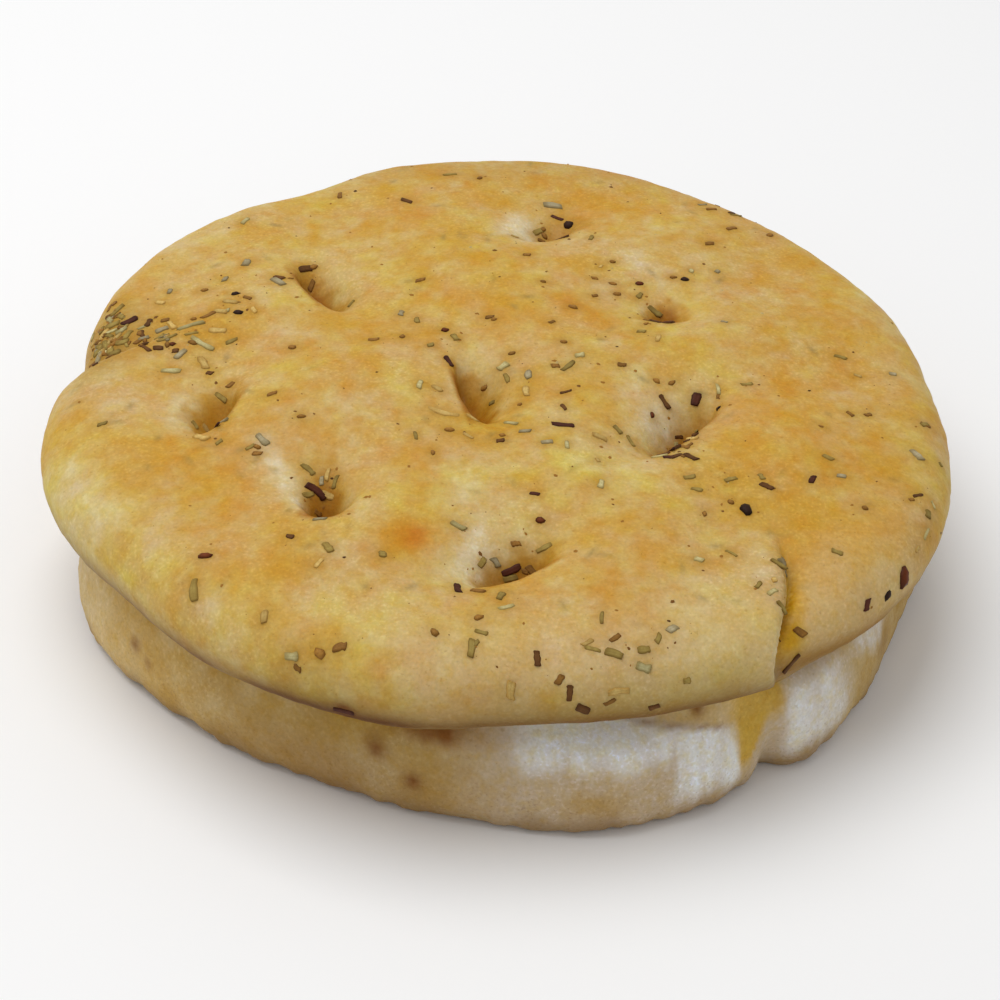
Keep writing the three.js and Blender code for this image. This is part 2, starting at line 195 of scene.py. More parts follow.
def smooth_loaf():
    """Points, each point's share along the profile (over 1 on top, under 0 beneath), and triangles."""
    points, shares, triangles, start = [], [], [], [0]
    for ring in range(RINGS + 1):
        count = max(1, 6*ring)
        angle = 2*np.pi*np.arange(count)/count
        part = ring/RINGS
        reach = part*(edge_of(LID, angle) - CREST_INSET)
        height = np.full(count, CREST_HEIGHT + CROWN*(1 - part**2))
        points.append(np.stack([reach*np.cos(angle), reach*np.sin(angle), height], 1))
        shares.append(np.full(count, 2 - part))
        start.append(start[-1] + count)
    for ring in range(RINGS):
        here = np.arange(6*(ring + 1))
        inside = here//(ring + 1)*ring + here % (ring + 1)
        inner = start[ring] + inside % max(1, 6*ring)
        outer, outer_next = start[ring + 1] + here, start[ring + 1] + (here + 1) % len(here)
        triangles.append(np.stack([inner, outer, outer_next], 1))
        between = here % (ring + 1) < ring
        inner_next = start[ring] + (inside + 1) % max(1, 6*ring)
        triangles.append(np.stack([inner, outer_next, inner_next], 1)[between])
    angle = 2*np.pi*np.arange(AROUND)/AROUND
    rows = [(on_profile(angle, i/SIDE_RINGS), i/SIDE_RINGS) for i in range(SIDE_RINGS - 1, -1, -1)]
    foot = rows[-1][0]
    rows += [(foot*(1 - i/UNDER_RINGS), -i/UNDER_RINGS) for i in range(1, UNDER_RINGS)]
    above, here = start[RINGS], np.arange(AROUND)
    turn = (here + 1) % AROUND
    below = start[RINGS + 1]
    for (radius, height), share in rows:
        points.append(np.stack([radius*np.cos(angle), radius*np.sin(angle), height], 1))
        shares.append(np.full(AROUND, share))
        triangles.append(np.stack([above + here, below + here, below + turn], 1))
        triangles.append(np.stack([above + here, below + turn, above + turn], 1))
        above, below = below, below + AROUND
    points.append(np.zeros((1, 3)))
    shares.append(np.array([-1.0]))
    triangles.append(np.stack([above + here, np.full(AROUND, below), above + turn], 1))
    return np.vstack(points), np.concatenate(shares), np.vstack(triangles)


def outward(points, triangles):
    """The direction that the surface faces at each point."""
    a, b, c = (points[triangles[:, k]] for k in range(3))
    facing = np.cross(b - a, c - a)
    total = np.zeros_like(points)
    for k in range(3):
        np.add.at(total, triangles[:, k], facing)
    return total/np.maximum(np.linalg.norm(total, axis=1), 1e-9)[:, None]


loaf, shares, triangles = smooth_loaf()
plan = loaf[:, :2].copy()
around = np.arctan2(plan[:, 1], plan[:, 0])
facing = outward(loaf, triangles)
print("smooth loaf:", len(loaf), "points,", len(triangles), "triangles")

# %% [markdown]
# Fingers pressed the dimples. A finger goes in at a slant, so one wall is a long gentle ramp and the other is
# steep, with a crisp edge that the floor runs under. A sculpt brush could do this by hand. Here each dimple is a
# smooth well, short on its crisp side and long on the other. It sinks the points and slides them towards the
# crisp edge, and a wide hollow sinks the dough around it. How deep a point sits is kept for the colours.

# %% Press the dimples
# middle of the crisp edge x and y, heading across it, width, half length, depth, slide, hollow around
DIMPLES = [
    (-36, 21.5, 209, 11.6, 6.6, 7, 1.5, 1), (11, 44.2, 312, 12, 5, 3.8, 1.2, 1),
    (29, 14.4, 258, 7.5, 2.9, 4.8, 1, 1.4), (-6.9, -10, 194, 10.6, 7, 7, 1.4, 1.2),
    (34, -18.2, 325, 10, 7.9, 7.6, 1.7, 1.2), (-45.9, -16.6, 343, 10, 5.2, 5.6, 1.5, 1),
    (-27.5, -45.3, 270, 13.2, 2.9, 9, 1.5, 1.2), (4.6, -57.6, 302, 9, 5.7, 7, 1.5, 1.2),
]
on_top = ease(0.55, 0.9, shares)
on_lid = ease(0.40, 0.50, shares)
shaped = loaf.copy()
wells, headings, depths_across, spots_along = [], [], [], []
for x, y, heading, width, half_length, depth, slide, hollow in DIMPLES:
    set_back = min(4.0, 0.3*width)
    ahead_x, ahead_y = math.cos(math.radians(heading)), math.sin(math.radians(heading))
    dx, dy = plan[:, 0] - x + set_back*ahead_x, plan[:, 1] - y + set_back*ahead_y
    ahead, aside = dx*ahead_x + dy*ahead_y, dy*ahead_x - dx*ahead_y
    reach = np.where(ahead > 0, set_back/1.28, (width - set_back)/1.94)
    out = np.hypot(ahead/reach, aside/half_length)
    crisp = ease(-0.5, 0.8, ahead/(np.hypot(ahead, aside) + 1e-6))
    well = on_top/(1 + out**(3.0 + 5.5*crisp))
    around_it = on_top*bell(out, 2.6)
    shaped += np.stack([slide*ahead_x*well, slide*ahead_y*well, -depth*well - hollow*around_it], 1)
    wells.append(well)
    headings.append(np.arctan2(dy, dx))
    depths_across.append((set_back - ahead)/width)
    spots_along.append(aside/half_length)
in_dimple = np.max(wells, 0)
print("deepest dimple floor at", shaped[in_dimple > 0.9][:, 2].min().round(1), "mm")

# %% [markdown]
# The lid is folded over itself in two places at the edge. On each fold one lobe stands a little proud, the other
# dips beside it into a crease, and the wall below is drawn in to a notch. A cut and moved mesh would tear there,
# so each fold follows one curved line from the top out past the rim, and what happens to a point depends on
# which side of that line it lies and how far off.

# %% Lay the folds
FOLDS = [
    dict(path=[(36, -24), (48, -40), (50, -57), (41.5, -78)], side=-1, lip=0.8, dip=3.0, dip_width=9.0, crease=1.6,
         droop=3.0, soft=0.7, lean=1.3, notch=3.4, notch_at=306.8, begins=0.36, full=0.68),
    dict(path=[(-44, 18), (-56, 9), (-68, 1.5), (-86, -9)], side=1, lip=0.5, dip=3.2, dip_width=10.0, crease=0.6,
         droop=0.0, soft=1.3, lean=0.6, notch=2.0, notch_at=182.5, begins=0.15, full=0.75),
]
NOTCH_SPREAD, NOTCH_TOP = 2.3, 16.0


def curve_steps(pulls, count=41):
    """A curve drawn by its pull points, as short straight steps."""
    t = np.linspace(0, 1, count)[:, None]
    rows = [np.array(p, float)*np.ones_like(t) for p in pulls]
    while len(rows) > 1:
        rows = [a*(1 - t) + b*t for a, b in zip(rows[:-1], rows[1:])]
    return rows[0]


def beside(places, steps):
    """Distance from a line of steps, positive on its left, and the share of the way along it."""
    nearest, side, along = np.full(len(places), 1e9), np.ones(len(places)), np.zeros(len(places))
    for i, (a, b) in enumerate(zip(steps[:-1], steps[1:])):
        run = b - a
        t = np.clip((places - a) @ run/(run @ run), 0, 1)
        gap = places - a - t[:, None]*run
        distance = np.hypot(gap[:, 0], gap[:, 1])
        closer = distance < nearest
        nearest = np.where(closer, distance, nearest)
        side = np.where(closer, np.where(run[0]*gap[:, 1] - run[1]*gap[:, 0] < 0, -1, 1), side)
        along = np.where(closer, (i + t)/(len(steps) - 1), along)
    return nearest*side, along


fold_sides, fold_alongs = [], []
for fold in FOLDS:
    steps = curve_steps(fold["path"])
    off, along = beside(plan, steps)
    off = off*fold["side"]
    grown = ease(fold["begins"], fold["full"], along)*on_lid
    over = 0.5*(1 + np.tanh(off/fold["soft"]))
    high_rim = ease(0.55, 0.85, shares)
    dip = (1 - over)*np.exp(-(np.abs(off)/fold["dip_width"])**1.5)*(0.3 + 0.7*high_rim)
    crease = bell(off + 1.0, 1.3)*grown
    lift = fold["lip"]*over*bell(off, 6.0)*ease(0.5, 0.68, shares) - fold["dip"]*dip
    shaped += facing*(lift*grown - fold["crease"]*crease*high_rim)[:, None]
    run = (steps[-1] - steps[0])/np.hypot(*(steps[-1] - steps[0]))
    shaped[:, 2] -= fold["droop"]*grown*(1 - over)*bell(off, 8.0)*bell(shares - 0.53, 0.08)
    lean = fold["lean"]*grown*bell(off - 0.6, 2.0)*fold["side"]*ease(0.5, 0.68, shares)
    shaped[:, 0] += lean*run[1]
    shaped[:, 1] -= lean*run[0]
    notch = fold["notch"]*(shares >= 0)*bell(turn_between(around, fold["notch_at"]), NOTCH_SPREAD)
    notch = notch*(1 - on_lid)*ease(NOTCH_TOP, 2, loaf[:, 2])
    shaped[:, :2] -= notch[:, None]*plan/np.maximum(np.hypot(plan[:, 0], plan[:, 1]), 1e-6)[:, None]
    fold_sides.append(off)
    fold_alongs.append(along)
print("folds laid:", len(FOLDS))

# %% [markdown]
# A crust is never quite smooth. Slow waves run over it, the oven raised small blisters, and the wall, which tore
# a little as it rose, has fine upright streaks. All of that is moved in the mesh itself, along the direction
# the surface faces, so that it shows at the edge of the bread too. What is finer than the mesh is left to the
# material.

# %% Waves, blisters and streaks
WALL_RADIUS, STREAK_STRETCH = 76, 7
# slow waves: amount, how fast along x and along y, start
WAVES = [(0.35, 0.16, 0.05, 0.8), (0.30, -0.07, 0.17, 2.1), (0.25, 0.12, -0.15, 4.0)]


def mottle(size, seed):
    """Noise over the crust as it is shaped so far."""
    return noise(shaped, size, seed)


def streaky(size, seed):
    """Noise drawn out upright, over the wall unrolled."""
    return noise(unrolled, size, seed)


slow = sum(amount*np.sin(x*plan[:, 0] + y*plan[:, 1] + start) for amount, x, y, start in WAVES)
shaped += facing*(slow*(0.25*ease(0.1, 0.2, shares) + 0.75*ease(0.85, 1.1, shares)))[:, None]
skin = outward(shaped, triangles)
on_wall = (1 - on_lid)*ease(0.02, 0.1, shares)
unrolled = np.stack([around*WALL_RADIUS, shaped[:, 2]/STREAK_STRETCH, np.zeros(len(loaf))], 1)
streaks = 0.6*streaky(1.2, 3) + 0.4*streaky(2.8, 4)
blisters = 0.18*mottle(7, 1) + 0.11*mottle(3.1, 2) + 0.07*mottle(1.5, 5)
shaped += skin*(blisters*ease(0.0, 0.12, shares) + 0.12*streaks*on_wall)[:, None]
ragged = (0.4*streaky(3, 6) + 0.3*streaky(1.4, 7))*ease(5, 0.5, shaped[:, 2])
ragged = ragged*ease(-0.01, 0.03, shares)/np.maximum(np.hypot(plan[:, 0], plan[:, 1]), 1e-6)
shaped[:, :2] += ragged[:, None]*plan
dents = np.clip(noise(loaf, 9.0, 8), 0, 1)*0.5 + np.clip(noise(loaf, 3.5, 9), 0, 1)*0.25
shaped[:, 2] += dents*(shares < 0)
shaped[:, 2] = np.maximum(shaped[:, 2], 0.0)
print("bread in mm:", shaped.min(0).round(1), "to", shaped.max(0).round(1))

# %% [markdown]
# Dried herbs lie over the top: cut needles, darker toasted bits and a dust of crumbs, thickest in the left
# fold, in the dimples and along the rim. Some pieces stand out, and a list says where each of them lies. The rest
# come from groups, each with a middle, a reach and a number of pieces, and from an even scatter. Their draws run
# in the same order as in the part, so that the pieces lie where its slivers are. All places are found before the
# colours, because each herb stains the crust around it.

# %% Herbs that stand out
# x, y, heading, length, width, look, and the height of those that lie on the side
LARGE_HERBS = [
    (68.1, -46.9, 55, 4.2, 2.3, "brown chip", 30.9), (65.2, -51.2, 20, 2, 1.3, "black chip", 30.1),
    (61, -54.3, 60, 2, 1.2, "plum"), (41.5, -40, 100, 2.8, 2.1, "black chip"),
    (11.1, -21.1, -8, 3.9, 1.1, "plum"), (-29.7, -35.8, -28, 4, 1.5, "plum"),
    (-9.4, -17.8, -16, 5.6, 1.1, "straw"), (-55.6, 9.2, 14, 4.8, 1.4, "sage"),
    (-53, 3.6, -38, 5.4, 1.2, "sage"), (48.4, -63.9, 55, 4.2, 1, "umber", 26),
    (19.4, -73.9, -14, 2.9, 1.3, "olive"), (-40.9, 22.3, -45, 3, 1.6, "grey"),
    (-47.4, -61.5, 95, 3.8, 1.4, "olive"), (9.1, 57, -8, 3.6, 1.8, "grey"),
    (12.2, 51.5, -10, 2.2, 1.8, "black chip"), (-46.1, -55.5, 10, 2.4, 1.5, "brown chip"),
    (3.5, -79.5, 85, 3, 1.3, "straw"), (-2.7, -75, 85, 3.2, 1.2, "olive"),
    (-5.4, -61.4, 100, 2.8, 1.1, "plum"), (-8.9, -2.4, -60, 2.8, 1.1, "plum"),
    (34.4, -7.4, 75, 2.4, 1.7, "plum"), (28.8, -9.7, -55, 3, 1, "umber"),
    (3.1, -52.5, 25, 3.4, 1.3, "plum"), (46.9, -51.5, -35, 2.8, 1.6, "grey"),
    (72, -19.7, -50, 2.6, 1.5, "grey"), (-26.4, -54.3, -60, 2.4, 1.3, "olive"),
    (-39.5, -26.5, -52, 3.2, 1.3, "grey"), (-50, -25, -35, 3, 1.4, "straw"),
    (27.5, -26.6, 2, 2.8, 0.9, "sage"), (29.9, -23.7, -50, 2.6, 1.4, "umber"),
    (32.7, -27.4, -40, 2.6, 1.2, "umber"), (-31.3, -32.4, -40, 2.8, 1, "olive"),
    (-28.3, -46.7, 0, 2.2, 0.9, "grey"), (27.9, 19.9, -35, 3, 1.1, "olive"),
    (29.9, 13.6, -20, 2.4, 1.3, "umber"), (-47.9, -21.4, -80, 2.4, 0.8, "plum"),
    (-21.5, -76, 0, 3.4, 1.1, "plum", 25.8), (20.4, -77.6, 0, 3.4, 1.1, "straw", 30.8),
    (12.7, -78.8, 85, 2.6, 1, "umber", 31.2), (11, -77.4, 60, 1.8, 1, "brown", 33),
    (14.9, -79.2, -30, 2.4, 1.5, "umber", 28.2), (19, -77.9, 25, 2, 0.8, "brown", 29),
    (26.1, -76.7, 20, 1.8, 1.2, "umber", 27), (31, -74.6, 0, 1.2, 1, "olive", 31),
    (49.7, -62.1, -30, 2.2, 1.3, "brown", 31), (-29.6, -75.4, -30, 1.4, 0.9, "brown", 31.6),
]
print(len(LARGE_HERBS), "herbs that stand out")

# %% Smaller herbs
# by look: x, y, heading, length, width
SMALL_HERBS = {
    "sage": [
        (-68.4, 11.1, 35, 2.4, 1.1), (-71, 15.5, 120, 2.4, 1.2), (24.1, -75, -15, 2.4, 1.4),
        (-30.7, -74.5, 0, 2.2, 1.4), (0.6, -2.8, 30, 2, 1.5), (14, -0.6, 20, 1.8, 1.4),
        (2.3, -19.3, -25, 2.6, 0.9), (-57.6, -4.1, 0, 3.4, 1.3)],
    "straw": [
        (-28.1, -33.1, 80, 2.4, 0.8), (-71.8, 11.6, 60, 2.6, 1.2), (-35.5, -68.3, 90, 2.2, 1.1),
        (-4.9, -24.1, -40, 2.2, 0.7), (-10.6, -11.2, -40, 2, 1), (-4.3, -18.3, -30, 2.4, 0.9),
        (-52.1, -1.7, -65, 3.4, 1.4), (-50.5, 12.8, -15, 2.6, 1.1), (-49, 15.4, -20, 3, 1),
        (-50.6, 7.3, -5, 3.2, 1.3), (-62.2, 18.2, -15, 2, 1), (28, 6.9, 80, 2.2, 0.9)],
    "grey": [
        (-72, 5.8, 80, 3, 1.2), (28.5, -68.8, 40, 1.8, 1.2), (5, -6.4, 100, 2, 1.2), (4.7, -22.5, 0, 2, 0.9),
        (8.4, -26, 10, 2, 1.2), (-56.5, 0.5, 60, 3, 1.2), (-51, 24.4, 80, 1.6, 1.1),
        (-47.6, 30.5, 80, 2.2, 1.6), (-18.1, 13.1, 80, 1.6, 1), (58, -29.2, 0, 1.6, 1), (70, 4.3, 0, 1.4, 1)],
    "olive": [
        (22.7, -22, -60, 2.6, 0.8), (-52, -17, -40, 1.8, 1), (-48.3, -9.6, -35, 2.6, 0.9),
        (-26.7, -34.3, 75, 2.4, 0.8), (-1.6, -53.3, 60, 2, 1), (8.3, -49.7, 25, 2.8, 1),
        (34, -18.9, 60, 2, 0.8), (-72.2, 7.8, 30, 2.6, 1.2), (-70.3, 13.3, 10, 2.8, 1.3),
        (-70.9, 8.3, 110, 2.6, 1.2), (-67.2, 9.6, 60, 2.4, 1.1), (-70.1, 17.8, 50, 3.4, 1.2),
        (-69, 5.6, 20, 2.4, 1.1), (24.1, -72.8, 10, 2, 1.2), (26.4, -70.8, 70, 1.8, 0.9),
        (46.3, -62, -40, 2.6, 0.9), (12, -4.2, 53, 3.5, 1), (-8.1, 5, -60, 1.8, 1.2),
        (-12.3, 1.7, 30, 1.4, 1), (20.5, -20.2, -50, 2.2, 1), (-59.3, 5.2, 30, 4, 0.9),
        (25.1, 22.8, 60, 1.6, 1), (25.1, 9.1, 0, 1.6, 1), (39.1, -32.8, 30, 2.2, 1), (74.2, -9.9, 40, 2, 1.1),
        (56, -48.1, -20, 2, 1), (46.2, -52.8, -30, 3, 0.9), (42.6, -58.3, 60, 1.8, 0.9),
        (32.3, -33, 20, 2.2, 1), (33.4, -36, -10, 2, 0.9), (43.3, -4.7, 10, 2, 0.9),
        (60.9, 8.1, -10, 2.4, 0.9), (-46.8, -26.7, 50, 1.6, 0.9), (1.5, -63.5, 70, 2, 1.2)],
    "brown": [
        (7, 47.6, 0, 1.6, 1), (31.6, -23.6, -30, 2.4, 0.9), (-69.3, 8.7, 150, 2.2, 1),
        (19.6, -71.6, 40, 2, 0.9), (-23.2, -74.5, 10, 2.2, 1.3), (9.7, -4.2, 0, 1.4, 1.2),
        (21.4, -2.4, 0, 1.5, 1.1), (-60.6, 12.4, 10, 1.6, 1), (-52.7, 11.9, 35, 2.6, 1),
        (-46, 16.5, -30, 1.8, 0.9), (-46.8, -7.7, 40, 1.6, 0.9), (16.8, 26.7, 0, 1.2, 0.8),
        (16.8, 20.9, 30, 1.2, 0.8), (-2.1, 10.8, 0, 1.6, 1), (-15.1, 23.9, 20, 1.8, 1),
        (-22.4, 3.4, 10, 2, 0.9), (4.3, 33.5, 0, 1.4, 1), (9, 9.9, 40, 1.2, 0.8), (38.7, 42.6, 20, 1.8, 1.1),
        (64.1, -10.7, 30, 1.4, 0.9), (-38.9, -14.4, 20, 1.8, 1), (-40, -29.7, 0, 1.6, 1),
        (3.7, -49.2, 10, 1.6, 0.9), (-35.4, 28.6, 70, 2.2, 1)],
    "umber": [
        (10.8, 43.2, 0, 2.8, 0.9), (28.2, -25.8, 20, 2.4, 1), (30.2, -26.9, 30, 2.2, 1),
        (32.8, -21.1, 40, 2.2, 0.9), (11.6, -11.6, 25, 2.2, 0.6), (0.6, -25.2, 20, 1.4, 1),
        (-60.6, 2.3, 0, 1.8, 1.2), (-63.3, 3.7, 60, 1.6, 1.4), (45.2, -33.9, -30, 2.4, 1.1),
        (-36.8, 31, 25, 2.8, 1.3), (27.8, 14, -25, 2.2, 1.1)],
    "plum": [
        (29.4, -24.4, -50, 2.2, 0.9), (29, -27.3, 0, 2, 0.9), (-67.2, 13.3, 35, 3.2, 1.3),
        (52.9, -31.3, 70, 1.8, 1)],
    "black chip": [
        (33.5, 28.4, 0, 1.6, 1.3), (-47.3, 11.9, -20, 2.2, 1.3), (-48.4, 18.2, 0, 1.7, 1.1),
        (38.2, -10.3, 0, 1.2, 0.9)],
    "brown chip": [
        (25.1, 26.1, 0, 1.6, 1.1), (26.6, -13.3, 90, 1.4, 0.9), (-10, 7.1, 0, 1.4, 1.2),
        (7.6, -45, 0, 1.6, 1.2), (-58.2, 3.4, 0, 1.4, 1)],
    "tan chip": [
        (-2.6, -5, 20, 2, 1), (-35.3, 31.8, 20, 2, 1.1), (-26.3, -75, -40, 2.2, 1.7),
        (-8.6, -72.5, -50, 2, 1.2), (2.1, 0, 0, 1.4, 1), (11.1, 3.4, 0, 1.4, 1), (0.9, -23.5, 0, 1.3, 1),
        (3.7, -13.9, 0, 1, 0.8), (-8.1, -22.7, 0, 2.2, 1.2), (-54.4, 21, 0, 1.6, 1),
        (20.9, 22.4, 0, 1.6, 1.1), (7.4, 23.6, 0, 1.2, 0.9), (20.2, 32.6, 0, 1.2, 0.9),
        (-33.4, -20.7, 0, 1.6, 1)],
}
print(sum(len(rows) for rows in SMALL_HERBS.values()), "smaller herbs")

# %% Groups and scatter
# middle x and y, reach along x and y, pieces
HERB_GROUPS = [
    (-71, 9, 2.6, 10, 50), (-63, 7.5, 7, 5, 30), (-50, 9, 5, 8, 3), (-44, 24, 6, 8, 2),
    (-47.5, -14, 4, 8, 4), (-18, 15, 6, 10, 1), (-4, -8, 5, 9, 2), (-28.7, -38, 2.5, 5, 8),
    (31.5, -20, 5, 4, 10), (36, -7, 9, 6, 5), (8, -11, 8, 12, 2), (9.5, 49, 3.5, 4, 6), (29, 22, 8, 14, 4),
    (43.5, -31, 4, 9, 2), (59, -18, 8, 26, 4), (73, -27, 3, 16, 7), (44.5, -57, 2.5, 8, 3),
    (3.5, -55, 5, 4, 8), (17, -71, 11, 6, 4), (-34, -60, 12, 10, 2), (-1, -66, 5, 8, 5),
    (25, -32, 9, 11, 4), (44, 63, 7, 5, 13),
]
SCATTER_REACH, SCATTER_PIECES = 76, 36
HERB_LENGTH, HERB_WIDTH = 1.95, 0.9
LOOK_MIX = (["sage"]*3 + ["olive"]*7 + ["straw"]*3 + ["grey"]*2 + ["brown"]*5 + ["umber"]*2 + ["plum"]
            + ["tan chip"]*5)
herbs = []
draw, draw_look = steady_draws(41), steady_draws(7)


def add_herb(x, y, heading, long, wide, look, side=None):
    herbs.append(dict(x=x, y=y, heading=heading, long=long, wide=wide, look=look, side=side))


def draw_herb(x, y):
    heading = 180*draw()
    long = HERB_LENGTH*(0.5 + 0.9*draw())
    wide = HERB_WIDTH*(0.65 + 0.7*draw())
    add_herb(x, y, heading, long, wide, LOOK_MIX[int(draw_look()*len(LOOK_MIX))])


for row in LARGE_HERBS:
    add_herb(*row)
for look, rows in SMALL_HERBS.items():
    for row in rows:
        add_herb(*row, look)
for x, y, reach_x, reach_y, count in HERB_GROUPS:
    for _ in range(count):
        right = draw() + draw() - 1
        back = draw() + draw() - 1
        draw_herb(x + 1.3*reach_x*right, y + 1.3*reach_y*back)
for _ in range(SCATTER_PIECES):
    draw_herb(*even_spot(SCATTER_REACH, draw))
print(len(herbs), "herb pieces")

# %% [markdown]
# The colours of a crust follow the bake. The high pillows are gold to orange, the dough that was stretched thin
# stayed pale, and oil made some patches yellow. Each point gets its own colour from these rules, written as
# ordinary 0 to 255 colours and turned into the linear light that Blender works in.

# %% Colours of the bake
def paint(red, green, blue):
    """A 0 to 255 colour as linear light."""
    c = np.array([red, green, blue])/255
    return np.where(c <= 0.04045, c/12.92, ((c + 0.055)/1.055)**2.4)


def blend(first, second, share):
    return first + (second - first)*np.clip(share, 0, 1)[:, None]


def coat(colours, colour, share):
    """Lay a 0 to 255 colour over an array of colours, as far as a share says."""
    colours += (paint(*colour) - colours)*np.clip(share, 0, 1)[:, None]


def away_from(x, y):
    """Each point's distance from a place, seen from above."""
    return np.hypot(plan[:, 0] - x, plan[:, 1] - y)


BAKE_STEPS = [0.0, 0.3, 0.55, 0.8, 1.0]
BAKE_COLOURS = np.array([paint(221, 203, 144), paint(212, 185, 114), paint(206, 167, 91), paint(205, 152, 62),
                         paint(198, 122, 24)])
# places that browned more, and that stayed paler where the amount is below zero: x, y, reach, amount; those at y
# of 56 and beyond are partly painted shade on the far side of the lid
BLUSHES = [
    (-47, -33, 13, 0.16), (-42, -57, 11, 0.1), (-29, -11, 12, 0.12), (-13.6, -51.5, 3.6, 1),
    (-15, 61, 14, 0.06), (19, 59, 12, 0.1), (52, -15, 14, 0.14), (59, -40, 12, 0.12), (24, -63, 12, 0.06),
    (11, 13, 12, 0.08), (66, 7, 12, 0.12), (-58, -25, 9, 0.1), (-70, -37, 14, -0.25), (-57, -58, 12, -0.16),
    (-5, -39, 9, -0.18), (-8, -57, 6, -0.18), (40, -38, 7, -0.14), (44, -54, 6, -0.05), (36, -68, 9, -0.2),
    (18, -32, 9, -0.12), (26, 34, 8, -0.14), (-13, -78, 16, -0.1), (-29, -74, 12, -0.12), (0, 74, 24, 0.08),
    (34, 66, 12, 0.06), (-16, 56, 14, 0.08), (50.5, -4.3, 3.2, 0.35), (48, -37, 7, 0.1),
    (-33, -32, 9, -0.22), (-35, 17, 8, -0.14), (-46, 31, 9, -0.1), (-14, -8, 9, -0.12),
    (-14, -42, 7, -0.12), (37, -3, 8, -0.12), (-6, -30, 8, 0.12), (54, -54, 9, 0.1),
]
bake = 0.53 + 0.12*mottle(15, 11) + 0.17*mottle(6, 12) + 0.15*mottle(2.4, 13)
bake += 0.10*mottle(1.1, 14)
for x, y, reach, amount in BLUSHES:
    bake += amount*bell(away_from(x, y), reach)*ease(0.5, 0.8, shares)
fold_pale = np.max([bell(off, 3.0)*ease(0.1, 0.4, along) for off, along in zip(fold_sides, fold_alongs)], 0)
bake -= 0.12*fold_pale + 0.03*bell(shares - 0.75, 0.12)
bake = np.where(bake > 0.8, 0.8 + 0.35*(bake - 0.8), bake)
tints = np.stack([np.interp(bake, BAKE_STEPS, BAKE_COLOURS[:, k]) for k in range(3)], 1)
print("bake from", bake.min().round(2), "to", bake.max().round(2))

# %% Yellow of the oil
# places with more oil, or less where the amount is below zero: x, y, reach, amount
OILED = [
    (-63, -29, 10, 0.4), (-16, -6, 10, -0.7), (17, -60, 11, -0.6), (-48, 47, 12, -0.8), (36, -67, 13, -0.7),
    (0, -71, 16, -0.8), (48, -37, 8, 0.9), (57, -55, 9, 0.6), (-33, -33, 9, -0.9), (-14, -43, 8, -0.7),
    (-35, 17, 8, -0.7), (-46, 31, 9, -0.5), (-46, 14, 7, 0.7), (-59, -41, 8, 0.5), (65, 10, 9, -0.9),
    (15, 47, 8, -0.6), (-6, -30, 8, 0.5), (14, -41, 8, -0.5),
]
oil = mottle(8, 15) + 0.4*mottle(3, 16)
for x, y, reach, amount in OILED:
    oil += amount*bell(away_from(x, y), reach)
oil_patches = ease(0.15, 0.7, oil)
coat(tints, (202, 150, 32), 0.45*oil_patches)
blues = 0.2*mottle(12, 43) + 0.32*mottle(5, 18) + 0.25*mottle(1.7, 19)
tints[:, 2] *= 1 + blues
print("oiled share of the points:", oil_patches.mean().round(2))

# %% [markdown]
# Inside a dimple the dough is pale and floury on one side, and brown with oil and herbs down at the crisp edge.
# One look for all eight would show as a pattern, so each dimple has its own amounts and its own floured wall.

# %% Colours in the dimples
# how brown and how ochre the floor is, how far up the ramp, shift along the edge, flour and its wall's heading
DIMPLE_LOOKS = [
    (0.95, 0.7, 0.56, 0, 0.1, 60), (0.25, 0.4, 0.7, 0.5, 0.9, 175), (1, 0.9, 0.95, -0.1, 0.35, 110),
    (0.95, 0.95, 0.58, 0.2, 0.35, 110), (0.95, 0.6, 0.57, -0.1, 1, 145), (0.4, 1, 0.72, 0, 0.6, 185),
    (0.95, 0.75, 1.02, -0.3, 0.6, 165), (0.72, 0.95, 0.68, 0.1, 0.9, 165),
]
# pale, floury ridges beside two dimples: from, to, reach, amount
PALE_RIDGES = [((-40, -26), (-30.6, -44), 1.8, 0.8), ((-3, -49), (-3.5, -57), 2.3, 0.75)]
ochre, brown, flour = (np.zeros(len(loaf)) for _ in range(3))
uneven = 1 + 0.25*mottle(1.6, 34)
for look, well, angle, across, along in zip(DIMPLE_LOOKS, wells, headings, depths_across, spots_along):
    browned, oiled, up_ramp, shift, floured, heading = look
    at_edge = ease(-0.12, 0.0, across)
    spot = np.hypot(np.maximum(across - 0.3, 0)/(up_ramp - 0.3), (along - shift)/1.1)*uneven
    brown = np.maximum(brown, browned*at_edge*ease(1.15, 0.6, spot))
    ochre = np.maximum(ochre, oiled*at_edge*ease(1.5, 0.9, spot))
    fibres = noise(np.stack([5*angle, 3*well, np.zeros(len(loaf))], 1), 1.0, 35)
    pale_wall = bell(turn_between(angle, heading), 50)*within(well, 0.03, 0.16, 0.55, 0.85)
    flour = np.maximum(flour, floured*pale_wall*(0.85 + 0.4*fibres))
for start, end, reach, amount in PALE_RIDGES:
    off, _ = beside(plan, np.array([start, end], float))
    flour = np.maximum(flour, amount*bell(off, reach)*on_lid*(1 + 0.5*mottle(2, 42)))
coat(tints, (212, 186, 112), 0.3*ease(0.08, 0.3, in_dimple))
coat(tints, (230, 219, 186), 0.85*flour)
coat(tints, (190, 138, 24), 0.85*ochre)
coat(tints, (160, 96, 8), 0.95*brown)
print("floured points:", int((flour > 0.2).sum()), "and browned points:", int((brown > 0.2).sum()))

# %% [markdown]
# Oil gathers in the creases of the folds and round the herbs. Every herb leaves a faint ochre ring, and some lie
# so deep in the dough that only a soft grey-green shadow shows. The rings could be a texture, but painted on the
# points they stay with their herbs when a herb is moved.

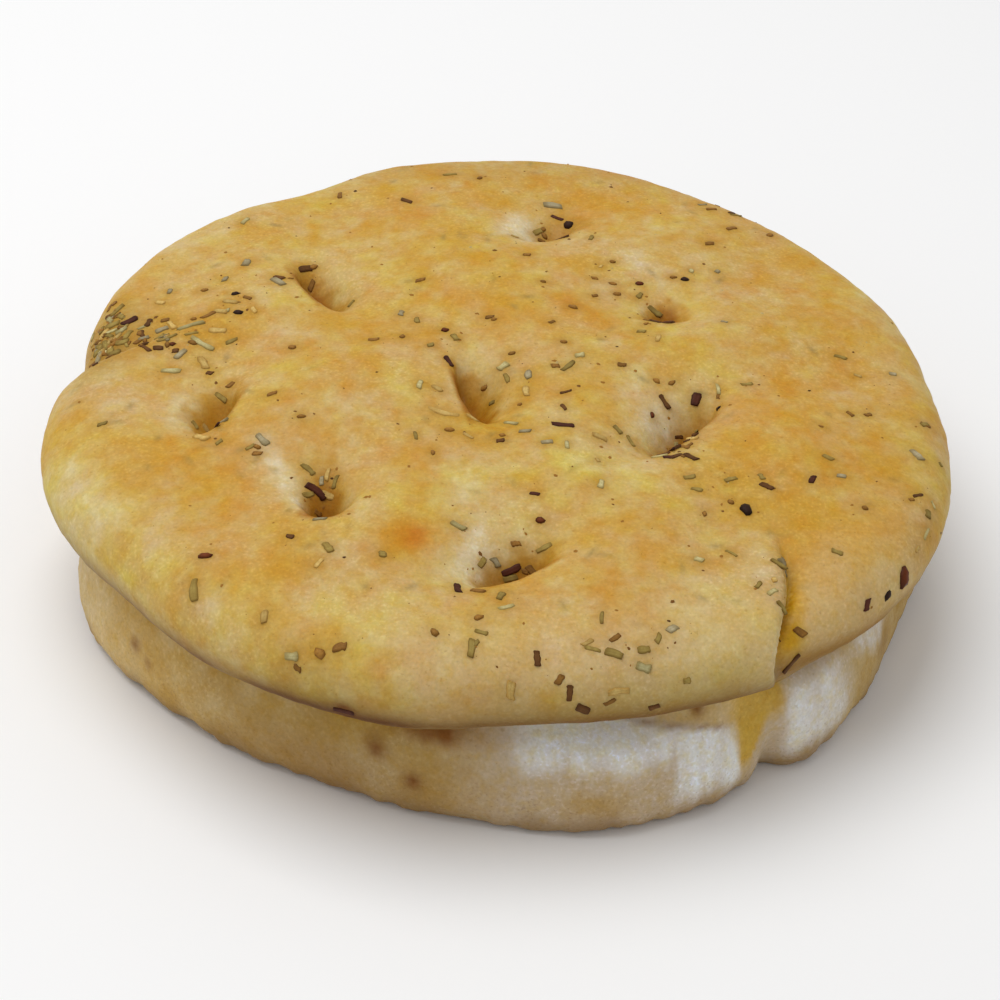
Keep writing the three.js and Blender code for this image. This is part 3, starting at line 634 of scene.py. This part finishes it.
# %% Stains of creases and herbs
HERB_SHADOWS = 90
right_side, right_along = fold_sides[0], fold_alongs[0]
grown = ease(0.5, 0.9, right_along)
crease_line = within(right_side, -4.5 - 4.5*grown, -2.0 - 2.5*grown, -0.4, 0.6)
crease_line *= ease(0.45, 0.65, right_along)*on_lid
coat(tints, (206, 158, 34), 0.9*crease_line*(1 + 0.3*mottle(2, 36)))
fold_oil = bell(fold_sides[1] + 5, 9)*ease(0.25, 0.6, fold_alongs[1])*on_lid
coat(tints, (184, 134, 40), 0.6*fold_oil*(1 + 0.7*mottle(3, 17)))
herb_bed = bell(np.hypot((plan[:, 0] + 71)/4.5, (plan[:, 1] - 8)/10), 1.0)*on_lid
coat(tints, (146, 116, 50), 0.7*herb_bed*(1 + 0.6*mottle(2.2, 20)))
halo, shadow = np.zeros(len(loaf)), np.zeros(len(loaf))


def stain_round(marks, x, y, heading, long, wide, amount):
    """Add a soft oval mark to an array of amounts, on the lid."""
    dx, dy, turn = plan[:, 0] - x, plan[:, 1] - y, math.radians(heading)
    near = np.flatnonzero((np.abs(dx) < 3*long) & (np.abs(dy) < 3*long) & (shares > 0.5))
    u = (dx[near]*math.cos(turn) + dy[near]*math.sin(turn))/long
    v = (dy[near]*math.cos(turn) - dx[near]*math.sin(turn))/wide
    marks[near] = np.maximum(marks[near], amount*np.exp(-u*u - v*v))


for herb in herbs:
    if herb["side"] is None:
        long, wide = 0.5*herb["long"] + 1.2, 0.5*herb["wide"] + 1.1
        stain_round(halo, herb["x"], herb["y"], herb["heading"], long, wide, 0.6)
draw = steady_draws(77)
for _ in range(HERB_SHADOWS):
    (x, y), heading, long = even_spot(SCATTER_REACH, draw), 180*draw(), 0.8 + 1.0*draw()
    stain_round(shadow, x, y, heading, long, 0.55, 0.25 + 0.35*draw())
coat(tints, (178, 130, 40), halo)
coat(tints, (136, 118, 70), shadow)
print("stained points:", int((halo > 0.1).sum()), "and shadows:", int((shadow > 0.1).sum()))

# %% [markdown]
# The wall below the lid is beige and tan, white with flour where it tore away from the lid, browner at the foot,
# and yellow where oil ran down from the right fold. Painted light makes it lighter round the left under the lid,
# and painted shade darkens it low at the front left. It could be painted with a brush. Rules by angle round the
# bread and by height are easier to read and to change, and the front is at 270 degrees.

# %% Colours of the wall
angle_deg = np.degrees(around) % 360
height = shaped[:, 2]
wall_tints = blend(np.tile(paint(204, 178, 126), (len(loaf), 1)), paint(184, 146, 70),
                   0.5 + 0.6*mottle(9, 21) + 0.3*mottle(3, 26))
coat(wall_tints, (188, 148, 56), 0.85*ease(9, 18, height)*ease(0, 0.5, mottle(6, 27)))
coat(wall_tints, (202, 181, 152), 0.85*within(angle_deg, 262, 274, 312, 324))
# painted light: the wall round 216 degrees is made up to a fifth lighter, as if lit under the lid's overhang, and
# round 256 degrees it is a little darker, painted shade
wall_tints *= (1 - 0.05*bell(angle_deg - 256, 18) + 0.2*bell(angle_deg - 216, 16))[:, None]
# flour on the wall: from and to in degrees, how soft each of those edges is, height of its foot, amount
FLOURED = [
    (274, 4, 293, 3, 14.2, 1), (292, 0.8, 301.5, 0.8, 5.5, 1), (308, 1.2, 319, 4, 6, 0.8),
    (321, 3, 334, 3, 12.5, 0.6), (55, 9, 88, 9, 8, 0.8), (140, 7, 160, 7, 10, 0.55),
    (20, 5, 32, 5, 12, 0.6),
]
floury = np.zeros(len(loaf))
torn_angle = angle_deg + 0.8*streaky(2, 37)
torn_height = height + 2*streaky(4, 22) + 1.5*streaks
for low, low_soft, high, high_soft, foot, share in FLOURED:
    part = share*within(torn_angle, low - low_soft, low + low_soft, high - high_soft, high + high_soft)
    floury = np.maximum(floury, part*ease(foot - 2.5, foot + 2.5, torn_height))
floury *= ease(23, 20, height)*(1 - 0.8*ease(305, 309, angle_deg)*ease(15.5, 18.5, height))
coat(wall_tints, (238, 237, 232), floury*(0.9 + 0.3*streaks))
coat(wall_tints, (148, 116, 72), 0.75*ease(6.5, 0.5, height + 1.5*streaky(4, 23)))
# painted shade: the front left of the wall gets darker towards the bottom
coat(wall_tints, (158, 118, 74), 0.45*bell(angle_deg - 250, 14)*ease(15, 6, height))
foot_oil = bell(angle_deg - 283, 4)*bell(height - 7.5, 2.2)*(0.8 + 0.5*streaky(2, 38))
coat(wall_tints, (186, 146, 50), 0.8*foot_oil)
stain_angle = 303.7 - 1.6*np.clip((15 - height)/7, 0, 1) + 0.8*streaky(3, 25)
stain_reach = 0.9 + 0.38*np.clip(height - 8, 0, 9)
stain = ease(1.3, 0.7, np.abs(angle_deg - stain_angle)/stain_reach)*ease(5, 9, height)
coat(wall_tints, (208, 166, 56), 0.95*stain)
tints = blend(wall_tints, tints, ease(0.45, 0.55, shares))
print("floured wall points:", int((floury > 0.5).sum()), "and oiled ones:", int((stain > 0.5).sum()))

# %% [markdown]
# Under the lip, beside the right fold, a strip of the second layer shows with a dark seam along its foot. The rim
# itself is creamy at the front. Where it turns under it is given a duller tan and darkened, which is painted
# shade, and a brown line follows its edge that is partly real browning and partly painted crease shade. These are
# bands along the profile, so each is a window of the share along it, held to a stretch of the way round.

# %% Colours of the second layer, the rim and the lip
under_lip = ease(0.52, 0.46, shares)
seam_height = 16.5 + 0.3*np.clip(299 - angle_deg, -4, 12) + 0.7*streaky(5, 40)
second_layer = ease(-0.5, 0.9, height - seam_height)*under_lip*within(angle_deg, 285, 294, 306, 311)
coat(tints, (206, 172, 102), 0.9*second_layer*(1 - 0.8*stain))
seam = bell(height - seam_height, 0.5)*within(angle_deg, 284, 290, 304, 308)
coat(tints, (150, 108, 48), 0.7*seam*under_lip*(1 - stain))
smear = bell(turn_between(around, 263.5), 5.5)*ease(14.2, 17.0, height + 0.8*streaks)*under_lip
coat(tints, (142, 90, 34), 0.9*smear*(1 + 0.4*streaky(2, 30)))
# painted shade: the rim's lower face is given a duller, darker tan
coat(tints, (188, 156, 102), 0.65*within(shares, 0.5, 0.56, 0.63, 0.76))
cream = within(shares, 0.6, 0.7, 0.82, 1.05)*within(angle_deg, 256, 270, 322, 338)
coat(tints, (216, 190, 140), 0.55*cream*(1 + 0.6*mottle(5, 41))*(1 - crease_line))
# painted shade: the rim is darkened where it turns under, least round 264 degrees
shade_under_rim = within(shares, 0.5, 0.56, 0.66, 0.86)*within(angle_deg, 238, 254, 297, 306)
shade_under_rim *= 1 - 0.5*bell(angle_deg - 264, 7)
tints *= 1 - shade_under_rim[:, None]*np.array([0.28, 0.34, 0.56])
lobe_edge = bell(shares - 0.64, 0.06)*within(angle_deg, 304, 307, 320, 334)
coat(tints, (172, 122, 32), 0.85*lobe_edge)
# a brown line under the rim's edge, partly real browning and partly painted crease shade, darkest round 255
# degrees
lip_brown_and_shade_line = bell(shares - 0.63, 0.04)*ease(-0.9, 0.1, streaky(8, 24))
lip_brown_and_shade_line *= within(angle_deg, 206, 222, 296, 312) + ease(190, 150, angle_deg)
coat(tints, (146, 98, 36), 0.8*lip_brown_and_shade_line)
coat(tints, (110, 64, 20), 0.85*lip_brown_and_shade_line*bell(turn_between(around, 255), 15))
print("points on the lip's brown line:", int((lip_brown_and_shade_line > 0.5).sum()))

# %% [markdown]
# A few single brown marks sit on the side. The underside, which no one sees, is the even brown of bread baked on a
# tray. Last, painted shade darkens the lid a little where it turns under and at its far edge, and two more amounts
# are kept for the material: where oil makes the skin glossy, and where the wall is freckled.

# %% Marks, underside and shade
# brown marks on the side: angle, height, reach, amount
MARKS = [
    (256.3, 12.8, 1.8, 0.95), (261.3, 8.3, 1.5, 0.85), (218.1, 10.6, 1.3, 1), (221, 9.2, 0.8, 0.7),
    (254.2, 26, 1.7, 1), (283.7, 4, 5, 0.12), (332, 8, 3, 0.4), (296, 20.5, 1.2, 0.9),
]
for at, high, reach, amount in MARKS:
    gap = np.hypot(1.3*turn_between(around, at), height - high)
    coat(tints, (128, 76, 26), amount*bell(gap, reach)*(1 + 0.5*mottle(1.5, 28)))
below = blend(np.tile(paint(186, 142, 84), (len(loaf), 1)), paint(142, 92, 44),
              0.5 + 0.5*noise(loaf, 12.0, 31) + 0.4*noise(loaf, 4.0, 32))
tints = blend(tints, below, ease(0.04, -0.02, shares))
# painted shade: darker where the lid faces down and towards its far edge
shade_turned_under = ease(0.3, -0.6, facing[:, 2])*ease(0.42, 0.5, shares)
tints *= (0.91 - 0.3*shade_turned_under - 0.08*ease(56, 74, plan[:, 1]))[:, None]
oily = np.clip(0.6*brown + 0.5*ochre + 0.8*crease_line + 0.7*stain + 0.25*mottle(11, 33), 0, 1)
freckled = (1 - ease(0.42, 0.5, shares))*ease(16, 4, height)
print("mean crust colour:", tints.mean(0).round(3))

# %% [markdown]
# Points, triangles and colours become one mesh. The colour and the oiliness ride on the points as attributes,
# which the material reads by name. The crust stands for the solid of the same name, so that solid isn't shown.

# %% Make the crust's mesh
def in_scene(name, data):
    """A new object in the scene that shows a mesh, a lamp or a lens."""
    made = bpy.data.objects.new(name, data)
    bpy.context.scene.collection.objects.link(made)
    return made


def piece_of(name, points, faces, colours, extra=None):
    """A shaded mesh object from millimetre points, with a colour on each point."""
    mesh = bpy.data.meshes.new(name)
    mesh.from_pydata((np.asarray(points)*MM).tolist(), [], faces)
    mesh.shade_smooth()
    tint = mesh.color_attributes.new("tint", "FLOAT_COLOR", "POINT")
    tint.data.foreach_set("color", np.hstack([colours, np.ones((len(points), 1))]).astype(np.float32).ravel())
    for key, values in (extra or {}).items():
        mesh.attributes.new(key, "FLOAT", "POINT").data.foreach_set("value", np.asarray(values, np.float32))
    return in_scene(name, mesh)


crust = piece_of("crust", shaped, triangles.tolist(), tints, {"oily": oily, "freckled": freckled})
print(crust.name, len(crust.data.polygons), "faces")

# %% [markdown]
# A material is a small net of nodes. Made one node at a time it takes many lines, so a few helpers make a node
# with its settings and links in one call, and name what such a node does here.

# %% Helpers for nodes
def feed(tree, node, inputs):
    """Give a node its inputs, each a fixed value or a link from another node."""
    for socket, value in inputs.items():
        if isinstance(value, bpy.types.NodeSocket):
            tree.links.new(value, node.inputs[socket])
        else:
            node.inputs[socket].default_value = value


def add_node(tree, kind, inputs=None, **settings):
    made = tree.nodes.new("ShaderNode" + kind)
    for key, value in settings.items():
        setattr(made, key, value)
    feed(tree, made, inputs or {})
    return made


def new_material(name):
    material = bpy.data.materials.new(name)
    material.use_nodes = True
    return material, material.node_tree, material.node_tree.nodes["Principled BSDF"]


def on_points(tree, name, output="Fac"):
    """An amount, or a colour, that rides on the mesh's points."""
    return add_node(tree, "Attribute", attribute_name=name).outputs[output]


def linear(red, green, blue):
    return (*paint(red, green, blue), 1.0)


def raw_noise(tree, where, size_mm, detail):
    return add_node(tree, "TexNoise", {"Vector": where, "Scale": 1/(size_mm*MM), "Detail": detail}).outputs["Fac"]


def grains(tree, where, size_mm, low, high, detail=2.0):
    """Noise of one grain size in millimetres, as 0 to 1 between two levels."""
    grain = raw_noise(tree, where, size_mm, detail)
    return add_node(tree, "MapRange", {"Value": grain, "From Min": low, "From Max": high}).outputs[0]


def mixed(tree, share, first, second, how="MIX"):
    """One colour mixed with another, or multiplied by it, as far as a share says."""
    made = add_node(tree, "Mix", {0: share, 6: first, 7: second}, data_type="RGBA", blend_type=how)
    return made.outputs[2]


def scaled(tree, value, factor):
    return add_node(tree, "Math", {0: value, 1: factor}, operation="MULTIPLY").outputs[0]


crust_material, tree, skin_shader = new_material("baked_crust")
print("crust material starts with", len(tree.nodes), "nodes")

# %% [markdown]
# Close up, the crust has a fine mottle: pale grains half a millimetre across, gold freckles and tiny pores, with
# a satin skin that is glossier where oil pooled. A painted texture would need an image, so noise nodes do it: some
# noises lighten, some brown, and they also feed the bump, at sizes set in the mesh's own metres.

# %% The crust's material
where = add_node(tree, "TexCoord").outputs["Object"]
pale_grains = grains(tree, where, 1.2, 0.50, 0.70, 3.0)
gold_grains = grains(tree, where, 1.6, 0.46, 0.70, 3.0)
pores = grains(tree, where, 0.7, 0.66, 0.78, 1.0)
freckles = scaled(tree, grains(tree, where, 0.5, 0.6, 0.75, 1.0), on_points(tree, "freckled"))
specks = scaled(tree, grains(tree, where, 0.55, 0.64, 0.72, 0.0), grains(tree, where, 14.0, 0.45, 0.62))
fine = raw_noise(tree, where, 0.55, 3.0)
speckle = add_node(tree, "MapRange", {"Value": fine, "From Min": 0.3, "From Max": 0.7, "To Min": 0.93,
                                      "To Max": 1.07}).outputs[0]
colour = on_points(tree, "tint", "Color")
for share, factor in [(1.0, speckle), (pale_grains, (1.06, 1.10, 1.22, 1)), (gold_grains, (0.98, 0.92, 0.70, 1)),
                      (specks, (1.05, 1.09, 1.22, 1)), (scaled(tree, pores, 0.5), (0.75, 0.66, 0.5, 1))]:
    colour = mixed(tree, share, colour, factor, "MULTIPLY")
colour = mixed(tree, scaled(tree, freckles, 0.35), colour, linear(128, 88, 48))
gloss = grains(tree, where, 5.0, 0.3, 0.7)
rough = add_node(tree, "MapRange", {"Value": gloss, "To Min": 0.52, "To Max": 0.66}).outputs[0]
oil_gloss = scaled(tree, on_points(tree, "oily"), 0.2)
rough = add_node(tree, "Math", {0: rough, 1: oil_gloss}, operation="SUBTRACT").outputs[0]
ripple = add_node(tree, "Bump", {"Height": fine, "Strength": 0.25, "Distance": 0.2*MM})
ripple = add_node(tree, "Bump", {"Height": gold_grains, "Strength": 0.2, "Distance": 0.25*MM,
                                 "Normal": ripple.outputs[0]})
feed(tree, skin_shader, {"Base Color": colour, "Roughness": rough, "Normal": ripple.outputs[0],
                         "Specular IOR Level": 0.14, "Subsurface Weight": 0.25, "Subsurface Scale": 1.6*MM,
                         "Subsurface Radius": (1.0, 0.55, 0.2)})
crust.data.materials.append(crust_material)
print("crust material has", len(tree.nodes), "nodes")

# %% [markdown]
# Each herb has to lie on the crust, so a ray is dropped from above, or sent in from the side, to find the skin
# and the way it faces. A searching tree over the crust's triangles makes that quick.

# %% Find the skin under a herb
skin = outward(shaped, triangles)
crust_tree = BVHTree.FromPolygons(shaped.tolist(), triangles.tolist())
RAY_START = 120.0


def lie_on_skin(x, y, side=None):
    """The point of the crust at a place and the direction that it faces there, or None."""
    if side is None:
        hit = crust_tree.ray_cast(Vector((x, y, RAY_START)), Vector((0, 0, -1)))
    else:
        out = Vector((x, y, 0)).normalized()
        hit = crust_tree.ray_cast(out*RAY_START + Vector((0, 0, side)), -out)
    if hit[0] is None:
        return None
    up = Vector(skin[triangles[hit[2]]].mean(0)).normalized()
    return hit[0], up


def herb_axes(up, heading):
    """Along, across and up for a piece that lies on a surface."""
    level = Vector((1, 0, 0)) if up.z > 0.5 else Vector((-up.y, up.x, 0))
    along = (level - up*level.dot(up)).normalized()
    along = Quaternion(up, math.radians(heading)) @ along
    return np.array([along, up.cross(along), up])


print("skin at the middle:", round(lie_on_skin(0, 0)[0].z, 2), "mm up")

# %% [markdown]
# A dried needle of this herb is a narrow leaf whose edges have rolled under, so it has a pale back with a groove
# along it and dark edges. A box would catch the light wrongly. One cross-section with two shoulders is carried
# along the length, bent a little and uneven in width, and closed with a cut face at each end. Its colour fades
# from the pale back to the dark edges, and is darker in the groove and at the ends, which is partly the leaf's own
# colour and partly painted shade. Broken bits are flat uneven chips, darker towards their underside in the same
# way.

# %% Make one needle or chip
SECTION = np.array([(-0.95, -0.9), (-1.0, 0.1), (-0.7, 0.8), (-0.3, 1.0), (0.0, 0.75), (0.3, 1.0), (0.7, 0.8),
                    (1.0, 0.1), (0.95, -0.9)])
# across the section the colour goes from the pale back down to the dark edges, with a darker groove between the
# shoulders, partly painted shade
SECTION_BACK_AND_SHADE = np.array([0.1, 0.1, 0.5, 1.0, 0.75, 1.0, 0.5, 0.1, 0.1])
STATIONS = np.array([-0.5, -0.42, -0.2, 0.05, 0.26, 0.43, 0.5])


def needle(herb, draw):
    """Points in millimetres on the herb's own axes, faces and how far each point is on the pale back rather than
    the darker edge, which is partly painted shade.
    """
    bend, skew, high = (draw() - 0.5)*1.2, (draw() - 0.5)*0.9, 0.2*herb["wide"]
    points, back_or_shade = [], []
    for place in STATIONS:
        width = 0.5*herb["wide"]*(0.8 + 0.4*draw())*(0.75 if abs(place) > 0.47 else 1.0)
        across = SECTION[:, 0]*width
        along = place*herb["long"] + skew*across + 0.1*(draw() - 0.5)
        points.append(np.stack([along, across + bend*place**2*herb["long"]*0.5, SECTION[:, 1]*high], 1))
        # the ends are darker, partly painted shade
        back_or_shade.append(SECTION_BACK_AND_SHADE*(0.35 if abs(place) > 0.4 else 1.0)*(0.5 + 0.7*draw()))
    ring, last = len(SECTION), len(SECTION)*(len(STATIONS) - 1)
    faces = [(s + i, s + i + ring, s + i + ring + 1, s + i + 1)
             for s in range(0, last, ring) for i in range(ring - 1)]
    faces += [tuple(range(ring)), tuple(range(last + ring - 1, last - 1, -1))]
    return np.vstack(points), faces, np.concatenate(back_or_shade)


def chip(herb, draw):
    """An uneven flat crumb, as points, faces and how far each point is on the pale back rather than its darker
    sides below, which are partly painted shade.
    """
    sides, points, back_or_shade = 9, [(0.0, 0.0, 0.3*herb["wide"])], [1.0]
    # the rings down the chip's side go darker towards its underside, partly painted shade
    for reach, lift, pale in [(0.55, 0.28, 0.8), (1.0, 0.06, 0.1), (0.9, -0.3, 0.0)]:
        for i in range(sides):
            angle, uneven = 2*math.pi*i/sides, 0.8 + 0.4*draw()
            out = 0.5*reach*uneven
            points.append((herb["long"]*out*math.cos(angle), herb["wide"]*out*math.sin(angle),
                           herb["wide"]*lift*(0.8 + 0.4*draw())))
            back_or_shade.append(pale)
    faces = [(0, 1 + i, 1 + (i + 1) % sides) for i in range(sides)]
    for first in (1, 1 + sides):
        faces += [(first + i, first + sides + i, first + sides + (i + 1) % sides, first + (i + 1) % sides)
                  for i in range(sides)]
    return np.array(points), faces, np.array(back_or_shade)


print("a needle has", len(needle(herbs[5], steady_draws(1))[1]), "faces")

# %% [markdown]
# The pieces are gathered by look into a few joined meshes: pale needles, toasted needles and chips. One mesh
# for each look keeps the scene light and lets each have its own finish. Every piece also gets its own slight
# change of colour.

# %% Lay the herbs on the crust
# the piece that each look goes to, its pale back and its dark edge, which is partly the herb's own colour and
# partly painted shade
HERB_LOOKS = {
    "sage": ("pale_needles", (200, 190, 138), (152, 132, 74)),
    "olive": ("pale_needles", (162, 140, 74), (126, 100, 44)),
    "straw": ("pale_needles", (208, 178, 108), (172, 132, 62)),
    "grey": ("pale_needles", (172, 160, 128), (128, 112, 74)),
    "brown": ("toasted_needles", (152, 108, 46), (116, 78, 30)),
    "umber": ("toasted_needles", (112, 74, 34), (80, 48, 20)),
    "plum": ("toasted_needles", (92, 48, 34), (62, 30, 20)),
    "black chip": ("chips", (52, 30, 20), (32, 20, 14)),
    "brown chip": ("chips", (112, 54, 24), (72, 34, 14)),
    "tan chip": ("chips", (160, 114, 48), (124, 84, 32)),
}
gathered = {piece: ([], [], []) for piece, _, _ in HERB_LOOKS.values()}


def gather(name, local, faces, colours, found, heading):
    """Lay one small piece on the skin, as part of the mesh that is to have this name."""
    points, all_faces, all_colours = gathered.setdefault(name, ([], [], []))
    count, (place, up) = len(points), found
    points.extend(local @ herb_axes(up, heading) + np.array(place))
    all_faces.extend(tuple(count + i for i in face) for face in faces)
    all_colours.extend(colours)


draw = steady_draws(23)
for herb in herbs:
    found = lie_on_skin(herb["x"], herb["y"], herb["side"])
    if found is None:
        continue
    is_chip = "chip" in herb["look"]
    if is_chip:
        herb["long"] = min(herb["long"], 1.8*herb["wide"])
    local, faces, back_or_shade = (chip if is_chip else needle)(herb, draw)
    piece, back, edge = HERB_LOOKS[herb["look"]]
    colours = blend(np.tile(paint(*edge), (len(back_or_shade), 1)), paint(*back), back_or_shade)*(0.8 + 0.4*draw())
    gather(piece, local, faces, colours, found, herb["heading"])
print({name: len(faces) for name, (_, faces, _) in gathered.items()}, "faces")

# %% [markdown]
# Between the larger pieces lies a dust of tiny crumbs, half a millimetre or so across, thicker where the herbs
# are thick. They are too many to place one by one with care, so each is a small five-sided mound.

# %% Dust of crumbs
CRUMBS, CRUMB_REACH, CRUMB_SIDES, NEAR_A_HERB = 520, 77, 5, 7
CRUMB_COLOURS = [(0.6, (158, 110, 44)), (0.85, (118, 78, 34)), (0.92, (74, 46, 24)), (1.0, (190, 166, 110))]
draw = steady_draws(59)
for _ in range(CRUMBS):
    if draw() < 0.5:
        herb = herbs[int(draw()*len(herbs))]
        x, y = herb["x"] + NEAR_A_HERB*(draw() - 0.5), herb["y"] + NEAR_A_HERB*(draw() - 0.5)
    else:
        x, y = even_spot(CRUMB_REACH, draw)
    size, heading, own = 0.2 + 0.42*draw()**2, 360*draw(), draw()
    found = lie_on_skin(x, y)
    if found is None:
        continue
    turns = [2*math.pi*i/CRUMB_SIDES for i in range(CRUMB_SIDES)]
    ring = [(size*math.cos(turn)*(0.8 + 0.8*draw()), size*math.sin(turn)*(0.6 + 0.5*draw()), -0.12)
            for turn in turns]
    mound = np.array([(0, 0, 0.4*size)] + ring)
    shade = next(colour for limit, colour in CRUMB_COLOURS if own <= limit)
    faces = [(0, 1 + i, 1 + (i + 1) % CRUMB_SIDES) for i in range(CRUMB_SIDES)]
    gather("crumbs", mound, faces, np.tile(paint(*shade), (len(mound), 1)), found, heading)
herb_pieces = [piece_of(name, *rows) for name, rows in gathered.items()]
print({piece.name: len(piece.data.polygons) for piece in herb_pieces})

# %% [markdown]
# The herbs are dry, so they are matt with a faint grain along them. The dark, toasted pieces have a little more
# shine. Their colour comes from the points, and a fine noise breaks it up.

# %% The herbs' materials
def herb_material(name, roughness, dark):
    material, tree, shader = new_material(name)
    where = add_node(tree, "TexCoord").outputs["Object"]
    grain = grains(tree, where, 0.35, 0.4, 0.7, 2.0)
    colour = mixed(tree, scaled(tree, grain, 0.28), on_points(tree, "tint", "Color"), linear(*dark))
    ridge = add_node(tree, "Bump", {"Height": grain, "Strength": 0.4, "Distance": 0.08*MM})
    feed(tree, shader, {"Base Color": colour, "Roughness": roughness, "Specular IOR Level": 0.12,
                        "Normal": ridge.outputs[0]})
    return material


finishes = {"pale_needles": (0.75, (124, 102, 52)), "toasted_needles": (0.55, (74, 44, 20)),
            "chips": (0.5, (60, 36, 18)), "crumbs": (0.7, (110, 74, 34))}
for piece in herb_pieces:
    roughness, dark = finishes[piece.name]
    piece.data.materials.append(herb_material(piece.name + "_finish", roughness, dark))
print("herb finishes:", list(finishes))

# %% [markdown]
# Every piece rides on the part's one body. The crust and the herbs on it replace the solid, because that solid has
# both.

# %% Tie the pieces to the part
for piece in [crust, *herb_pieces]:
    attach(piece, "root")
    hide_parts("focaccia")
print("pieces:", [piece.name for piece in [crust, *herb_pieces]])

# %% [markdown]
# The bread stands on a plain pale floor, under a wide soft light overhead and an even fill from all round. Soft
# light suits a crust: it shows the dimples without hard black holes.

# %% Floor and light
floor_mesh = bpy.data.meshes.new("floor")
floor_mesh.from_pydata([(-4, -4, 0), (4, -4, 0), (4, 4, 0), (-4, 4, 0)], [], [(0, 1, 2, 3)])
floor = in_scene("floor", floor_mesh)
floor_material, tree, shader = new_material("pale_floor")
feed(tree, shader, {"Base Color": (0.94, 0.94, 0.94, 1), "Roughness": 0.8})
floor_mesh.materials.append(floor_material)
floor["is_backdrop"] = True

world = bpy.data.worlds.new("soft_surround")
world.use_nodes = True
tree = world.node_tree
feed(tree, tree.nodes["Background"], {"Color": (1, 1, 1, 1), "Strength": 0.53})
bpy.context.scene.world = world


def soft_light(name, place, size, power):
    lamp = bpy.data.lights.new(name, "AREA")
    lamp.size, lamp.energy = size, power
    made = in_scene(name, lamp)
    made.location = place
    made.rotation_euler = (Vector((0, 0, 0.02)) - Vector(place)).to_track_quat("-Z", "Y").to_euler()


soft_light("overhead_light", (-0.28, 0.10, 0.95), 0.8, 6.0)

# %% [markdown]
# The camera looks down at 37 degrees from the front, about half a metre away, turned a little about its own axis.
# Colours go to the picture as they are, with no film curve, so that a crust painted gold comes out gold.

# %% Camera
ELEVATION, DISTANCE, ROLL, PIXELS_PER_MM = 37.0, 480.0, 2.0, 5.68
SENSOR_WIDTH, PICTURE_WIDTH = 36.0, 1000
LOOK_AT = Vector((0.88, -15.07, 20.0))
slope = math.radians(ELEVATION)
backwards = Vector((0, -math.cos(slope), math.sin(slope)))
lens = bpy.data.cameras.new("photo_lens")
lens.sensor_width = SENSOR_WIDTH
lens.lens = SENSOR_WIDTH*PIXELS_PER_MM*DISTANCE/PICTURE_WIDTH
camera = in_scene("photo_camera", lens)
camera.location = (LOOK_AT + backwards*DISTANCE)*MM
camera.rotation_mode = "QUATERNION"
camera.rotation_quaternion = (-backwards).to_track_quat("-Z", "Y") @ Quaternion((0, 0, 1), math.radians(ROLL))
bpy.context.scene.camera = camera
bpy.context.scene.view_settings.view_transform = "Standard"
print("lens in mm:", round(lens.lens, 1))

# %% [markdown]
# Last, the finished bread's box is measured.

# %% Measure and finish
low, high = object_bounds()
print("bread box in mm:", [round(1000*(b - a), 1) for a, b in zip(low, high)])
